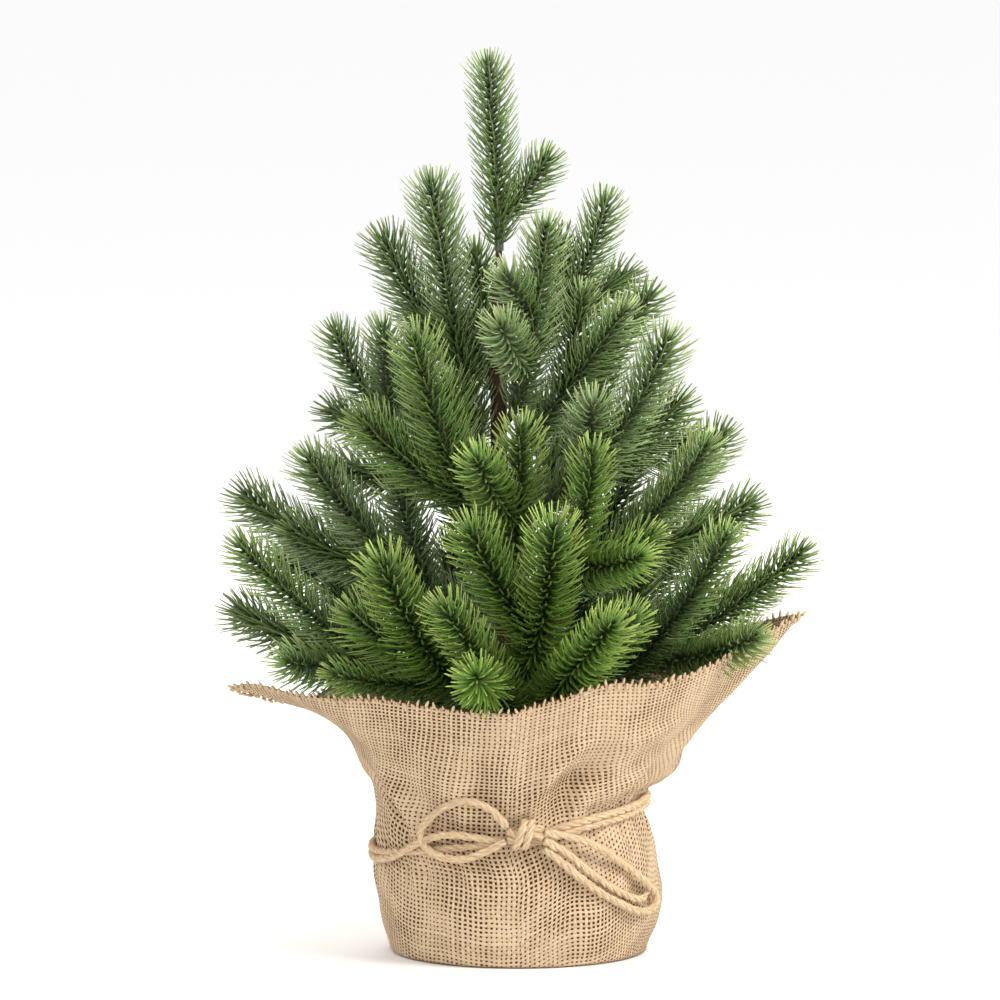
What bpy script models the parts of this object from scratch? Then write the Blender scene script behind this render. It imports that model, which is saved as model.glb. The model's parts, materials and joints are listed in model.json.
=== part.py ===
"""Artificial tabletop tree: moulded needle sprigs on wire branches, in a tied jute sack.

Metres, +Z up. The origin is the centre of the sack's flat underside, +X is the
right of the tree and -Y its front. Every branch is a taped wire stem with a
moulded sprig pushed over its end, and it bends at its root, where the wire
leaves the trunk. The branch table is drawn in millimetres on a crown
NOMINAL_WIDTH wide and NOMINAL_HEIGHT high, and is stretched to the real one.
"""

import math
from typing import NamedTuple

import bmesh
import bpy
from mathutils import Vector

# Overall sizes
TREE_HEIGHT = 0.447
CROWN_WIDTH = 0.300

# The crown that the branch table is drawn on, in millimetres
NOMINAL_WIDTH = 300
NOMINAL_HEIGHT = 447

# Clearances
TOUCH_GAP = 0.0004
HINGE_GAP = 0.0005

# Trunk: a steel core wrapped in paper tape
CORE_RADIUS = 0.0024
TAPE_FOOT_RADIUS = 0.0055
TAPE_TOP_RADIUS = 0.0040
TRUNK_LEAN = 0.009
TRUNK_SIDES = 8
TRUNK_FOOT_SHARE = 0.045
TRUNK_TOP_SHARE = 0.756
TAPE_STOP = 0.004

# Branches: wire stem and moulded sprig
STEM_RADIUS = 0.00175
STEM_SHARE = 0.20
SOCKET_DEPTH = 0.008
SOCKET_GAP = 0.00045
COLLAR_RADIUS = 0.0034
BRUSH_RADIUS = 0.0048
BRUSH_RUN_IN = 0.009
BRUSH_DOME = 0.009
SPRIG_SIDES = 6
STEM_SIDES = 6
SIDE_SAG = 0.12
LEADER_HINGE_LIFT = 0.003

# Pot and the weight cast in it
POT_FOOT_RADIUS = 0.050
POT_TOP_RADIUS = 0.0575
POT_HEIGHT = 0.076
POT_WALL = 0.0018
POT_LIP = 0.0015
WEIGHT_HEIGHT = 0.062
POT_SEGMENTS = 24

# Sack: its body follows the pot, and its mouth follows the crown
SACK_WALL = 0.0018
SACK_FOOT_EASE = 0.0120
SACK_WAIST_EASE = 0.0080
SACK_WAIST_SHIFT = 0.0040
SACK_BELLY_FULLNESS = 0.0055
SACK_FOOT_RADIUS = POT_FOOT_RADIUS + SACK_FOOT_EASE
SACK_WAIST_RADIUS = POT_TOP_RADIUS + SACK_WAIST_EASE
SACK_BELLY_RADIUS = SACK_WAIST_RADIUS + SACK_BELLY_FULLNESS
WAIST_HEIGHT = 0.0630
WAIST_TILT = 0.19
WAIST_HALF_HEIGHT = 0.0055
MOUTH_HALF_WIDTH = 0.4617 * CROWN_WIDTH
MOUTH_HALF_DEPTH = CROWN_WIDTH / 3
MOUTH_HEIGHT = 0.2953 * TREE_HEIGHT
MOUTH_RIGHT_SHOULDER = 0.0313 * TREE_HEIGHT
MOUTH_RIGHT_CORNER = 0.0492 * TREE_HEIGHT
MOUTH_CORNER_SHARPNESS = 1.25
FLARE_LIFT = 0.0030
FLARE_LEFT_PUFF = 0.0230
FLARE_RIGHT_SAG = 0.0080
FLARE_CORNER_REACH = 0.9
FLARE_PUFF_POWER = 0.55
SACK_SEGMENTS = 32
FLARE_RINGS = 6

# Twine
TWINE_RADIUS = 0.00175
WAIST_BAND_HALF_HEIGHT = 0.0034
WAIST_BAND_STEPS = 40
KNOT_HALF_SIZE = Vector((0.0080, 0.0055, 0.0065))
KNOT_STAND_OFF = 0.0088
KNOT_ASIDE = 0.0040
KNOT_RISE = 0.0050
TWINE_STEP = 0.0050

LEFT_LOOP_ROUTE = (
    (-0.0050, -0.0738, 0.0715),
    (-0.0125, -0.0745, 0.0800),
    (-0.0225, -0.0735, 0.0843),
    (-0.0330, -0.0690, 0.0822),
    (-0.0420, -0.0650, 0.0756),
    (-0.0472, -0.0596, 0.0674),
    (-0.0448, -0.0604, 0.0600),
    (-0.0366, -0.0650, 0.0556),
    (-0.0258, -0.0690, 0.0553),
    (-0.0152, -0.0716, 0.0594),
    (-0.0056, -0.0729, 0.0646),
)
RIGHT_LOOP_ROUTE = (
    (0.0133, -0.0735, 0.0690),
    (0.0230, -0.0698, 0.0668),
    (0.0335, -0.0655, 0.0635),
    (0.0440, -0.0589, 0.0568),
    (0.0540, -0.0499, 0.0484),
    (0.0625, -0.0390, 0.0398),
    (0.0678, -0.0292, 0.0322),
    (0.0672, -0.0307, 0.0262),
    (0.0610, -0.0418, 0.0252),
    (0.0520, -0.0526, 0.0300),
    (0.0415, -0.0613, 0.0370),
    (0.0315, -0.0671, 0.0452),
    (0.0215, -0.0709, 0.0541),
    (0.0130, -0.0735, 0.0612),
)
TAIL_ROUTE = (
    (0.0131, -0.0742, 0.0652),
    (0.0185, -0.0722, 0.0620),
    (0.0255, -0.0690, 0.0572),
    (0.0345, -0.0645, 0.0488),
    (0.0445, -0.0580, 0.0406),
    (0.0540, -0.0492, 0.0342),
    (0.0605, -0.0407, 0.0312),
    (0.0640, -0.0350, 0.0335),
)


class Tip(NamedTuple):
    """One needle tip: where it forks, as a share of the main twig, and where it ends."""

    fork: float
    end: tuple


class Branch(NamedTuple):
    """One wired branch: root height on the trunk, the bend that it heads for, its tips."""

    name: str
    root: float
    bend: tuple
    end: tuple
    sides: tuple


BRANCHES = (
    Branch("upper_right_back", 288, (32, 16, 316), (46, 27, 377),
           (Tip(0.42, (18, 36, 358)), Tip(0.40, (60, 50, 334)))),
    Branch("upper_left", 248, (-26, -9, 266), (-43, -3, 388),
           (Tip(0.30, (-69, 18, 358)),
            Tip(0.24, (-20, 5, 319)))),
    Branch("upper_front", 262, (7, -25, 280), (15, -29, 370),
           (Tip(0.52, (-9, -46, 346)), Tip(0.30, (-10, -62, 322)))),
    Branch("upper_right", 244, (28, -20, 284), (57, -31, 327),
           (Tip(0.40, (34, 0, 334)), Tip(0.48, (70, 10, 331)))),
    Branch("mid_right_front", 212, (54, -35, 246), (76, -43, 316),
           (Tip(0.34, (38, -54, 284)), Tip(0.32, (85, 6, 277)))),
    Branch("upper_left_back", 222, (-70, 8, 254), (-93, 12, 314),
           (Tip(0.50, (-66, -12, 318)), Tip(0.42, (-98, 40, 268)))),
    Branch("mid_left_front", 196, (-32, -42, 230), (-52, -55, 318),
           (Tip(0.30, (-81, -40, 274)),
            Tip(0.36, (-36, -26, 292)))),
    Branch("mid_front", 186, (1, -60, 208), (2, -72, 276),
           (Tip(0.46, (-22, -99, 261)),)),
    Branch("mid_left", 158, (-70, -11, 196), (-107, -15, 253),
           (Tip(0.36, (-118, 6, 212)), Tip(0.34, (-141, 30, 227)),
            Tip(0.30, (-60, -24, 243)))),
    Branch("low_mid_right_front", 160, (34, -68, 192), (37, -85, 266),
           (Tip(0.46, (65, -94, 210)), Tip(0.36, (72, -56, 218)))),
    Branch("mid_right", 172, (66, -24, 204), (97, -36, 262),
           (Tip(0.42, (106, 24, 260)), Tip(0.36, (122, 38, 221)),
            Tip(0.30, (60, 4, 254)))),
    Branch("low_front_centre", 130, (15, -82, 158), (18, -108, 231),
           (Tip(0.44, (-26, -98, 227)),)),
    Branch("low_right", 116, (94, 0, 152), (146, 4, 203),
           (Tip(0.32, (106, -46, 218)), Tip(0.40, (122, -53, 166)),
            Tip(0.28, (64, 10, 204)))),
    Branch("low_front_right", 109, (26, -92, 148), (50, -122, 183),
           (Tip(0.45, (61, -90, 184)),)),
    Branch("low_front", 103, (-2, -90, 138), (-41, -112, 191),
           (Tip(0.52, (-22, -134, 157)),)),
    Branch("low_left_front", 118, (-48, -78, 148), (-68, -98, 212),
           (Tip(0.46, (-86, -68, 181)), Tip(0.34, (-98, -76, 150)))),
    Branch("low_left", 110, (-82, -22, 144), (-141, -30, 211),
           (Tip(0.42, (-119, -55, 153)), Tip(0.46, (-144, 32, 169)),
            Tip(0.34, (-94, 18, 187)))),
    Branch("upper_back", 270, (-14, 34, 290), (-22, 46, 350),
           (Tip(0.38, (12, 66, 328)), Tip(0.36, (-58, 52, 318)))),
    Branch("mid_right_back", 216, (34, 56, 240), (48, 74, 294),
           (Tip(0.40, (8, 90, 268)), Tip(0.38, (94, 62, 250)),
            Tip(0.28, (56, 36, 242)))),
    Branch("mid_left_back", 204, (-40, 56, 232), (-62, 82, 286),
           (Tip(0.40, (-20, 100, 256)), Tip(0.40, (-102, 78, 234)),
            Tip(0.26, (-50, 34, 240)))),
    Branch("low_right_back", 134, (64, 62, 162), (98, 96, 210),
           (Tip(0.42, (58, 128, 190)), Tip(0.42, (130, 72, 176)),
            Tip(0.26, (34, 40, 196)))),
    Branch("low_back", 122, (-2, 88, 154), (0, 130, 206),
           (Tip(0.45, (38, 134, 164)), Tip(0.45, (-36, 140, 170)))),
    Branch("low_left_back", 140, (-60, 72, 170), (-92, 106, 212),
           (Tip(0.42, (-124, 78, 190)), Tip(0.42, (-58, 134, 186)),
            Tip(0.26, (-34, 40, 206)))),
)
LEADER = Branch("leader", 0, (-8, 0, 372), (-15, 0, 447),
                (Tip(0.20, (19, 8, 399)),))


def crown_point(x, y, z):
    """A point of the branch table, stretched to the real crown."""
    across = CROWN_WIDTH / NOMINAL_WIDTH
    return Vector((x * across, y * across, z * TREE_HEIGHT / NOMINAL_HEIGHT))


def trunk_axis(height):
    """The trunk's centre at a height: upright in the weight, then leaning to the left."""
    climb = (height - POT_HEIGHT) / (TREE_HEIGHT * TRUNK_TOP_SHARE - POT_HEIGHT)
    lean = TRUNK_LEAN * math.sin(math.pi / 2 * min(max(climb * 1.4, 0.0), 1.0))
    return Vector((-lean, 0, height))


def tape_radius(height):
    """The taped trunk's outer radius, tapering from the pot to the top."""
    climb = (height - WEIGHT_HEIGHT) / (TREE_HEIGHT * TRUNK_TOP_SHARE - WEIGHT_HEIGHT)
    share = min(max(climb, 0.0), 1.0)
    return TAPE_FOOT_RADIUS + (TAPE_TOP_RADIUS - TAPE_FOOT_RADIUS) * share


class Path:
    """A smooth curve from start to end, heading for a bend, read by its length."""

    STEPS = 48

    def __init__(self, start, bend, end):
        self.points = []
        for i in range(self.STEPS + 1):
            t = i / self.STEPS
            self.points.append(start * (1 - t) ** 2 + bend * (2 * t * (1 - t)) + end * t * t)
        self.reached = [0.0]
        for a, b in zip(self.points, self.points[1:]):
            self.reached.append(self.reached[-1] + (b - a).length)
        self.length = self.reached[-1]

    def at(self, distance):
        """The point at a distance along the curve, run on straight past its ends."""
        i = 0
        while i < self.STEPS - 1 and self.reached[i + 1] < distance:
            i += 1
        share = (distance - self.reached[i]) / (self.reached[i + 1] - self.reached[i])
        return self.points[i].lerp(self.points[i + 1], share)

    def heading(self, distance):
        """The unit direction of travel at a distance along the curve."""
        reach = 0.001
        return (self.at(distance + reach) - self.at(distance - reach)).normalized()


def material(name, colour, roughness, metallic=0.0):
    """A plain Principled material of one colour."""
    made = bpy.data.materials.new(name)
    made.use_nodes = True
    shader = made.node_tree.nodes["Principled BSDF"]
    shader.inputs["Base Color"].default_value = (*colour, 1.0)
    shader.inputs["Roughness"].default_value = roughness
    shader.inputs["Metallic"].default_value = metallic
    return made


def make_materials():
    """Every finish of the tree, by name."""
    return {
        "needle_plastic": material("needle_plastic", (0.085, 0.20, 0.055), 0.45),
        "stem_tape": material("stem_tape", (0.065, 0.035, 0.018), 0.85),
        "core_steel": material("core_steel", (0.45, 0.44, 0.42), 0.4, 1.0),
        "pot_plastic": material("pot_plastic", (0.03, 0.028, 0.026), 0.55),
        "plaster": material("plaster", (0.62, 0.60, 0.56), 0.9),
        "burlap": material("burlap", (0.56, 0.42, 0.25), 0.95),
        "twine": material("twine", (0.60, 0.44, 0.26), 0.9),
    }


def add_object(name, mesh_or_curve, finish):
    """Link a node to the scene with its material."""
    made = bpy.data.objects.new(name, mesh_or_curve)
    mesh_or_curve.materials.append(finish)
    bpy.context.scene.collection.objects.link(made)
    return made


def finish_mesh(name, bm, finish):
    """Turn a bmesh into a smooth-shaded node."""
    mesh = bpy.data.meshes.new(name)
    bm.to_mesh(mesh)
    bm.free()
    mesh.shade_smooth()
    mesh.set_sharp_from_angle(angle=math.radians(45))
    return add_object(name, mesh, finish)


def as_cutter(helper):
    """Keep a helper solid out of the render and draw it as wire."""
    helper.hide_render = True
    helper.display_type = "WIRE"
    return helper


def boolean(target, helper, operation):
    """Join or cut a node with a helper solid."""
    modifier = target.modifiers.new(helper.name, "BOOLEAN")
    modifier.object = helper
    modifier.operation = operation
    modifier.solver = "EXACT"


def carried_frames(points):
    """A side and an up vector at each point, carried along the path without twist."""
    heading = (points[1] - points[0]).normalized()
    side = heading.orthogonal().normalized()
    frames = []
    for i in range(len(points)):
        ahead = points[min(i + 1, len(points) - 1)] - points[max(i - 1, 0)]
        ahead.normalize()
        side = (side - ahead * side.dot(ahead)).normalized()
        frames.append((side, ahead.cross(side)))
    return frames


def tube(name, points, radii, sides, finish):
    """A closed round solid through points, with a radius at each of them."""
    bm = bmesh.new()
    rings = []
    for point, radius, (side, up) in zip(points, radii, carried_frames(points)):
        rings.append(circle(bm, point, side * radius, up * radius, sides))
    skin(bm, rings)
    bm.faces.new(rings[0][::-1])
    bm.faces.new(rings[-1])
    return finish_mesh(name, bm, finish)


def circle(bm, centre, side, up, count):
    """A ring of vertices about a centre, from its side vector towards its up vector."""
    ring = []
    for k in range(count):
        turn = math.tau * k / count
        ring.append(bm.verts.new(centre + side * math.cos(turn) + up * math.sin(turn)))
    return ring


def skin(bm, rings, closed=False):
    """Faces between each ring of vertices and the next, and back to the first if closed."""
    follow = rings[1:] + (rings[:1] if closed else [])
    for low, high in zip(rings, follow):
        for k in range(len(low)):
            j = (k + 1) % len(low)
            bm.faces.new((low[k], low[j], high[j], high[k]))


def brush_radii(distances, length, start):
    """Radii of a sprig's needle core: thin at its start, full along it, domed at its end."""
    radii = []
    for distance in distances:
        grow = min(max((distance - start) / BRUSH_RUN_IN, 0.0), 1.0)
        full = COLLAR_RADIUS + (BRUSH_RADIUS - COLLAR_RADIUS) * grow
        left = max(length - distance, 0.0) / BRUSH_DOME
        radii.append(full * (1.0 if left >= 1 else math.sqrt(max(1 - (1 - left) ** 2, 0.06))))
    return radii


def spread(first, last, count):
    """Evenly spaced numbers, both ends included."""
    return [first + (last - first) * i / (count - 1) for i in range(count)]


def branch_root(branch):
    """The hinge point, just clear of the trunk on the side that the branch leaves."""
    height = branch.root * TREE_HEIGHT / NOMINAL_HEIGHT
    centre = trunk_axis(height)
    outward = crown_point(*branch.bend) - centre
    outward.z = 0
    reach = tape_radius(height) + HINGE_GAP + STEM_RADIUS
    return centre + outward.normalized() * reach


def leader_root():
    """The leader's hinge point, on top of the trunk."""
    height = TREE_HEIGHT * TRUNK_TOP_SHARE
    return trunk_axis(height) + Vector((0, 0, LEADER_HINGE_LIFT))


def main_path(branch, root):
    """The main twig's curve, from the hinge to its end."""
    return Path(root, crown_point(*branch.bend), crown_point(*branch.end))


def side_path(main, tip):
    """A side twig's curve: it sags below the straight line, so that its end turns up."""
    start = main.at(tip.fork * main.length)
    end = crown_point(*tip.end)
    sag = SIDE_SAG * (end - start).length
    return Path(start, (start + end) / 2 - Vector((0, 0, sag)), end)


def make_stem(name, path, finish):
    """The taped wire from a round root at the hinge to its end inside the sprig's socket."""
    last = path.length * STEM_SHARE + SOCKET_DEPTH - TOUCH_GAP
    distances = [-0.8 * STEM_RADIUS, 0.0] + spread(last * 0.25, last, 4)
    radii = [0.6 * STEM_RADIUS] + [STEM_RADIUS] * 5
    return tube(name, [path.at(d) for d in distances], radii, STEM_SIDES, finish)


def make_sprig(name, branch, path, finish):
    """A moulded sprig: main twig, side twigs and a blind socket for the stem."""
    mouth = path.length * STEM_SHARE
    bottom = mouth + SOCKET_DEPTH
    dome = path.length - BRUSH_DOME
    distances = [mouth] + spread(bottom, dome, 5)
    distances += [path.length - 0.35 * BRUSH_DOME, path.length]
    radii = brush_radii(distances, path.length, bottom)
    sprig = tube(name, [path.at(d) for d in distances], radii, SPRIG_SIDES, finish)
    for number, tip in enumerate(branch.sides, 1):
        side = side_path(path, tip)
        reads = spread(0.0, side.length - BRUSH_DOME, 4)
        reads += [side.length - 0.35 * BRUSH_DOME, side.length]
        widths = brush_radii(reads, side.length, 0.0)
        twig = tube(f"{name}_side_{number}", [side.at(d) for d in reads], widths, SPRIG_SIDES, finish)
        boolean(sprig, as_cutter(twig), "UNION")
    bore = [path.at(d) for d in spread(mouth - 0.002, bottom, 3)]
    socket = tube(f"{name}_socket", bore, [STEM_RADIUS + SOCKET_GAP] * 3, STEM_SIDES, finish)
    boolean(sprig, as_cutter(socket), "DIFFERENCE")
    return sprig


def make_branch(branch, root, finishes):
    """One branch's two pieces, both on the body that turns at its root."""
    path = main_path(branch, root)
    make_stem(f"stem_{branch.name}", path, finishes["stem_tape"])
    make_sprig(f"sprig_{branch.name}", branch, path, finishes["needle_plastic"])


def make_trunk(finishes):
    """The steel core, set in the weight, and the tape sleeve around it."""
    top = TREE_HEIGHT * TRUNK_TOP_SHARE
    foot = TREE_HEIGHT * TRUNK_FOOT_SHARE
    levels = spread(POT_HEIGHT, top - TAPE_STOP, 8)
    heights = [foot] + levels + [top]
    centres = [trunk_axis(h) for h in heights]
    tube("trunk_core", centres, [CORE_RADIUS] * len(heights), TRUNK_SIDES, finishes["core_steel"])
    bm = bmesh.new()
    bore = CORE_RADIUS + TOUCH_GAP
    wall = [(h, tape_radius(h)) for h in levels] + [(h, bore) for h in levels[::-1]]
    rings = []
    for height, radius in wall:
        centre = trunk_axis(height)
        rings.append(circle(bm, centre, Vector((radius, 0, 0)), Vector((0, radius, 0)), TRUNK_SIDES))
    skin(bm, rings, closed=True)
    finish_mesh("trunk_tape", bm, finishes["stem_tape"])


def pot_radius(height):
    """The pot's outer radius at a height above its own foot."""
    return POT_FOOT_RADIUS + (POT_TOP_RADIUS - POT_FOOT_RADIUS) * height / POT_HEIGHT


def make_pot(finishes):
    """The plastic pot, standing on the sack's bottom, and the plaster weight cast in it."""
    foot = SACK_WALL + TOUCH_GAP
    lip = POT_TOP_RADIUS + POT_LIP
    pot_profile = [
        (POT_FOOT_RADIUS, foot),
        (pot_radius(POT_HEIGHT - 2 * POT_LIP), foot + POT_HEIGHT - 2 * POT_LIP),
        (lip, foot + POT_HEIGHT - 2 * POT_LIP),
        (lip, foot + POT_HEIGHT),
        (POT_TOP_RADIUS - POT_WALL, foot + POT_HEIGHT),
        (POT_FOOT_RADIUS - POT_WALL, foot + POT_WALL),
    ]
    solid_of_turning("pot", pot_profile, POT_SEGMENTS, finishes["pot_plastic"])
    floor = foot + POT_WALL + TOUCH_GAP
    hole = CORE_RADIUS + TOUCH_GAP
    hole_foot = TREE_HEIGHT * TRUNK_FOOT_SHARE - TOUCH_GAP
    shrink = POT_WALL + 1.5 * TOUCH_GAP
    weight_profile = [
        (pot_radius(floor - foot) - shrink, floor),
        (pot_radius(WEIGHT_HEIGHT - foot) - shrink, WEIGHT_HEIGHT),
        (hole, WEIGHT_HEIGHT),
        (hole, hole_foot),
    ]
    solid_of_turning("plaster_weight", weight_profile, POT_SEGMENTS, finishes["plaster"])


def solid_of_turning(name, profile, segments, finish):
    """A solid turned about +Z from an outline of (radius, height), its two ends closed flat."""
    bm = bmesh.new()
    rings = []
    for radius, height in profile:
        centre = Vector((0, 0, height))
        rings.append(circle(bm, centre, Vector((radius, 0, 0)), Vector((0, radius, 0)), segments))
    skin(bm, rings)
    bm.faces.new(rings[0][::-1])
    bm.faces.new(rings[-1])
    return finish_mesh(name, bm, finish)


def waist_height(x):
    """Height of the tied waist, which is a tilted ring."""
    return WAIST_HEIGHT + WAIST_TILT * x


def mouth_point(turn):
    """A point of the sack's raw rim: a lens with its corners at the side seams."""
    c, s = math.cos(turn), math.sin(turn)
    x = MOUTH_HALF_WIDTH * c
    y = MOUTH_HALF_DEPTH * math.copysign(abs(s) ** MOUTH_CORNER_SHARPNESS, s)
    right = max(c, 0.0)
    rise = MOUTH_RIGHT_SHOULDER * math.sqrt(right) + MOUTH_RIGHT_CORNER * right ** 6
    return Vector((x, y, MOUTH_HEIGHT + rise))


def flare_lift(turn, share):
    """How far the flare stands over a straight line from the waist to the rim.

    The cloth puffs up on its way to the left corner and sags on its way to the right one.
    """
    from_left = abs(turn - math.pi) / FLARE_CORNER_REACH
    from_right = min(turn, math.tau - turn) / FLARE_CORNER_REACH
    size = FLARE_LIFT + FLARE_LEFT_PUFF * math.exp(-from_left ** 2)
    size -= FLARE_RIGHT_SAG * math.exp(-from_right ** 2)
    return size * math.sin(math.pi * share ** FLARE_PUFF_POWER)


def sack_rings():
    """Rings of points on the sack's outside, from its foot up to its rim."""
    turns = [math.tau * k / SACK_SEGMENTS for k in range(SACK_SEGMENTS)]
    around = [Vector((math.cos(t), math.sin(t), 0)) for t in turns]
    aside = Vector((-SACK_WAIST_SHIFT, 0, 0))
    waist = [waist_height(out.x * SACK_WAIST_RADIUS) for out in around]
    stations = (
        (0.0, SACK_FOOT_RADIUS),
        (0.12, SACK_FOOT_RADIUS + 0.7 * (SACK_BELLY_RADIUS - SACK_FOOT_RADIUS)),
        (0.38, SACK_BELLY_RADIUS),
        (0.78, SACK_BELLY_RADIUS),
    )
    rings = []
    for share, radius in stations:
        ring = []
        for out, tied in zip(around, waist):
            ring.append(out * radius + Vector((0, 0, share * (tied - WAIST_HALF_HEIGHT))))
        rings.append(ring)
    for offset in (-WAIST_HALF_HEIGHT, WAIST_HALF_HEIGHT):
        up = [Vector((0, 0, tied + offset)) for tied in waist]
        rings.append([o * SACK_WAIST_RADIUS + aside + rise for o, rise in zip(around, up)])
    for step in range(1, FLARE_RINGS + 1):
        share = step / FLARE_RINGS
        ring = []
        for low, turn in zip(rings[5], turns):
            lift = Vector((0, 0, flare_lift(turn, share)))
            ring.append(low.lerp(mouth_point(turn), share) + lift)
        rings.append(ring)
    return rings


def make_sack(finish):
    """The jute sack: one cloth wall with a flat bottom and an open mouth."""
    bm = bmesh.new()
    rings = [[bm.verts.new(point) for point in ring] for ring in sack_rings()]
    skin(bm, rings)
    bm.faces.new(rings[0][::-1])
    sack = finish_mesh("sack", bm, finish)
    wall = sack.modifiers.new("wall", "SOLIDIFY")
    wall.thickness = SACK_WALL
    wall.offset = -1
    return sack


def make_waist_band(finish):
    """The twine's turns around the waist, side by side as one flat band."""
    bm = bmesh.new()
    thick = TWINE_RADIUS
    reach = SACK_WAIST_RADIUS + 1.5 * TOUCH_GAP + thick
    rings = []
    for i in range(WAIST_BAND_STEPS):
        turn = math.tau * i / WAIST_BAND_STEPS
        out = Vector((math.cos(turn), math.sin(turn), 0))
        height = waist_height(out.x * reach)
        ring = []
        for k in range(8):
            angle = math.tau * k / 8
            shift = out * (thick * math.cos(angle))
            rise = Vector((0, 0, WAIST_BAND_HALF_HEIGHT * math.sin(angle)))
            centre = out * reach + Vector((-SACK_WAIST_SHIFT, 0, height))
            ring.append(bm.verts.new(centre + shift + rise))
        rings.append(ring)
    skin(bm, rings, closed=True)
    bmesh.ops.recalc_face_normals(bm, faces=bm.faces)
    finish_mesh("twine_waist", bm, finish)


def make_knot(finish):
    """The bow's knot, a rounded lump on the front of the waist band."""
    centre = Vector((KNOT_ASIDE, -SACK_WAIST_RADIUS - KNOT_STAND_OFF, WAIST_HEIGHT + KNOT_RISE))
    bm = bmesh.new()
    bmesh.ops.create_uvsphere(bm, u_segments=10, v_segments=8, radius=1.0)
    bmesh.ops.scale(bm, vec=KNOT_HALF_SIZE, verts=bm.verts)
    bmesh.ops.translate(bm, vec=centre, verts=bm.verts)
    finish_mesh("twine_knot", bm, finish)


def smooth_route(route):
    """Points about TWINE_STEP apart on a smooth curve through a cord's own points."""
    points = [Vector(p) for p in route]
    ends = [points[0] * 2 - points[1]] + points + [points[-1] * 2 - points[-2]]
    made = [points[0]]
    for a, b, c, d in zip(ends, ends[1:], ends[2:], ends[3:]):
        count = max(1, round((c - b).length / TWINE_STEP))
        for i in range(1, count + 1):
            t = i / count
            made.append(0.5 * (2 * b + (c - a) * t + (2 * a - 5 * b + 4 * c - d) * t ** 2
                               + (3 * b - a - 3 * c + d) * t ** 3))
    return made


def make_cord(name, route, finish):
    """A free stretch of twine along its route."""
    curve = bpy.data.curves.new(name, "CURVE")
    curve.dimensions = "3D"
    points = smooth_route(route)
    spline = curve.splines.new("POLY")
    spline.points.add(len(points) - 1)
    for place, point in zip(spline.points, points):
        place.co = (*point, 1.0)
    curve.bevel_depth = TWINE_RADIUS
    curve.bevel_resolution = 2
    curve.use_fill_caps = True
    return add_object(name, curve, finish)


def main():
    """Build the tree from its foot to its tip."""
    for old in list(bpy.data.objects):
        bpy.data.objects.remove(old)
    finishes = make_materials()
    make_sack(finishes["burlap"])
    make_pot(finishes)
    make_trunk(finishes)
    for branch in BRANCHES:
        make_branch(branch, branch_root(branch), finishes)
    make_branch(LEADER, leader_root(), finishes)
    make_waist_band(finishes["twine"])
    make_knot(finishes["twine"])
    make_cord("twine_loop_left", LEFT_LOOP_ROUTE, finishes["twine"])
    make_cord("twine_loop_right", RIGHT_LOOP_ROUTE, finishes["twine"])
    make_cord("twine_tail", TAIL_ROUTE, finishes["twine"])


main()
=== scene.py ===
"""Looks of the artificial tabletop tree: needle sprigs, taped wire, jute sack and twine bow.

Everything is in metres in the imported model's own frame: +Z up, +X the tree's right
and -Y its front, with the origin under the middle of the sack.
"""

import json
import logging
import math
from dataclasses import dataclass
from enum import Enum
from typing import Callable, Iterable, NamedTuple, Sequence

import bpy
import numpy as np
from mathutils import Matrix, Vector
from mathutils.noise import noise


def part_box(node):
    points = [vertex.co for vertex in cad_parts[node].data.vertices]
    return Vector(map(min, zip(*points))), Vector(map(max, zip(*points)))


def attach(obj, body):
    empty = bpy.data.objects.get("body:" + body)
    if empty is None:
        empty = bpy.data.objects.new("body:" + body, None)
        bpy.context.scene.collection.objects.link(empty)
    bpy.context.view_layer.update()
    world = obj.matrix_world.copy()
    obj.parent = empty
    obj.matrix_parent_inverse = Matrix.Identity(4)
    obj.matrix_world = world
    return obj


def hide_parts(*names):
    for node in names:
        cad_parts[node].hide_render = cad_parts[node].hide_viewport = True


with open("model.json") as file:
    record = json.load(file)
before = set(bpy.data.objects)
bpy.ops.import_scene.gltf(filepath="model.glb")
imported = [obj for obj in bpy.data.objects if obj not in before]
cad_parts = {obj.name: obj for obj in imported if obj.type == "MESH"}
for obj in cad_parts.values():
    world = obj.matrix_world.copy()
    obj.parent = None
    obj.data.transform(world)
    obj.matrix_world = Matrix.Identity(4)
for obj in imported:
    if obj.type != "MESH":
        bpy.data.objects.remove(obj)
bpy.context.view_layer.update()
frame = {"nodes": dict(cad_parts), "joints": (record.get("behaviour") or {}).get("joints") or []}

Array = np.ndarray
Material = bpy.types.Material
Mesh = bpy.types.Mesh
Node = bpy.types.Node
Object = bpy.types.Object
Socket = bpy.types.NodeSocket

LOG = logging.getLogger("tabletop_tree")
MM = 0.001
FULL_TURN = 2 * math.pi


class Slot(Enum):
    """The record's material slots."""

    NEEDLES = "needles"
    STEM_TAPE = "stem_tape"
    CORE_STEEL = "core_steel"
    POT = "pot"
    WEIGHT = "weight"
    BURLAP = "burlap"
    TWINE = "twine"


# --- Node trees ---


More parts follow.
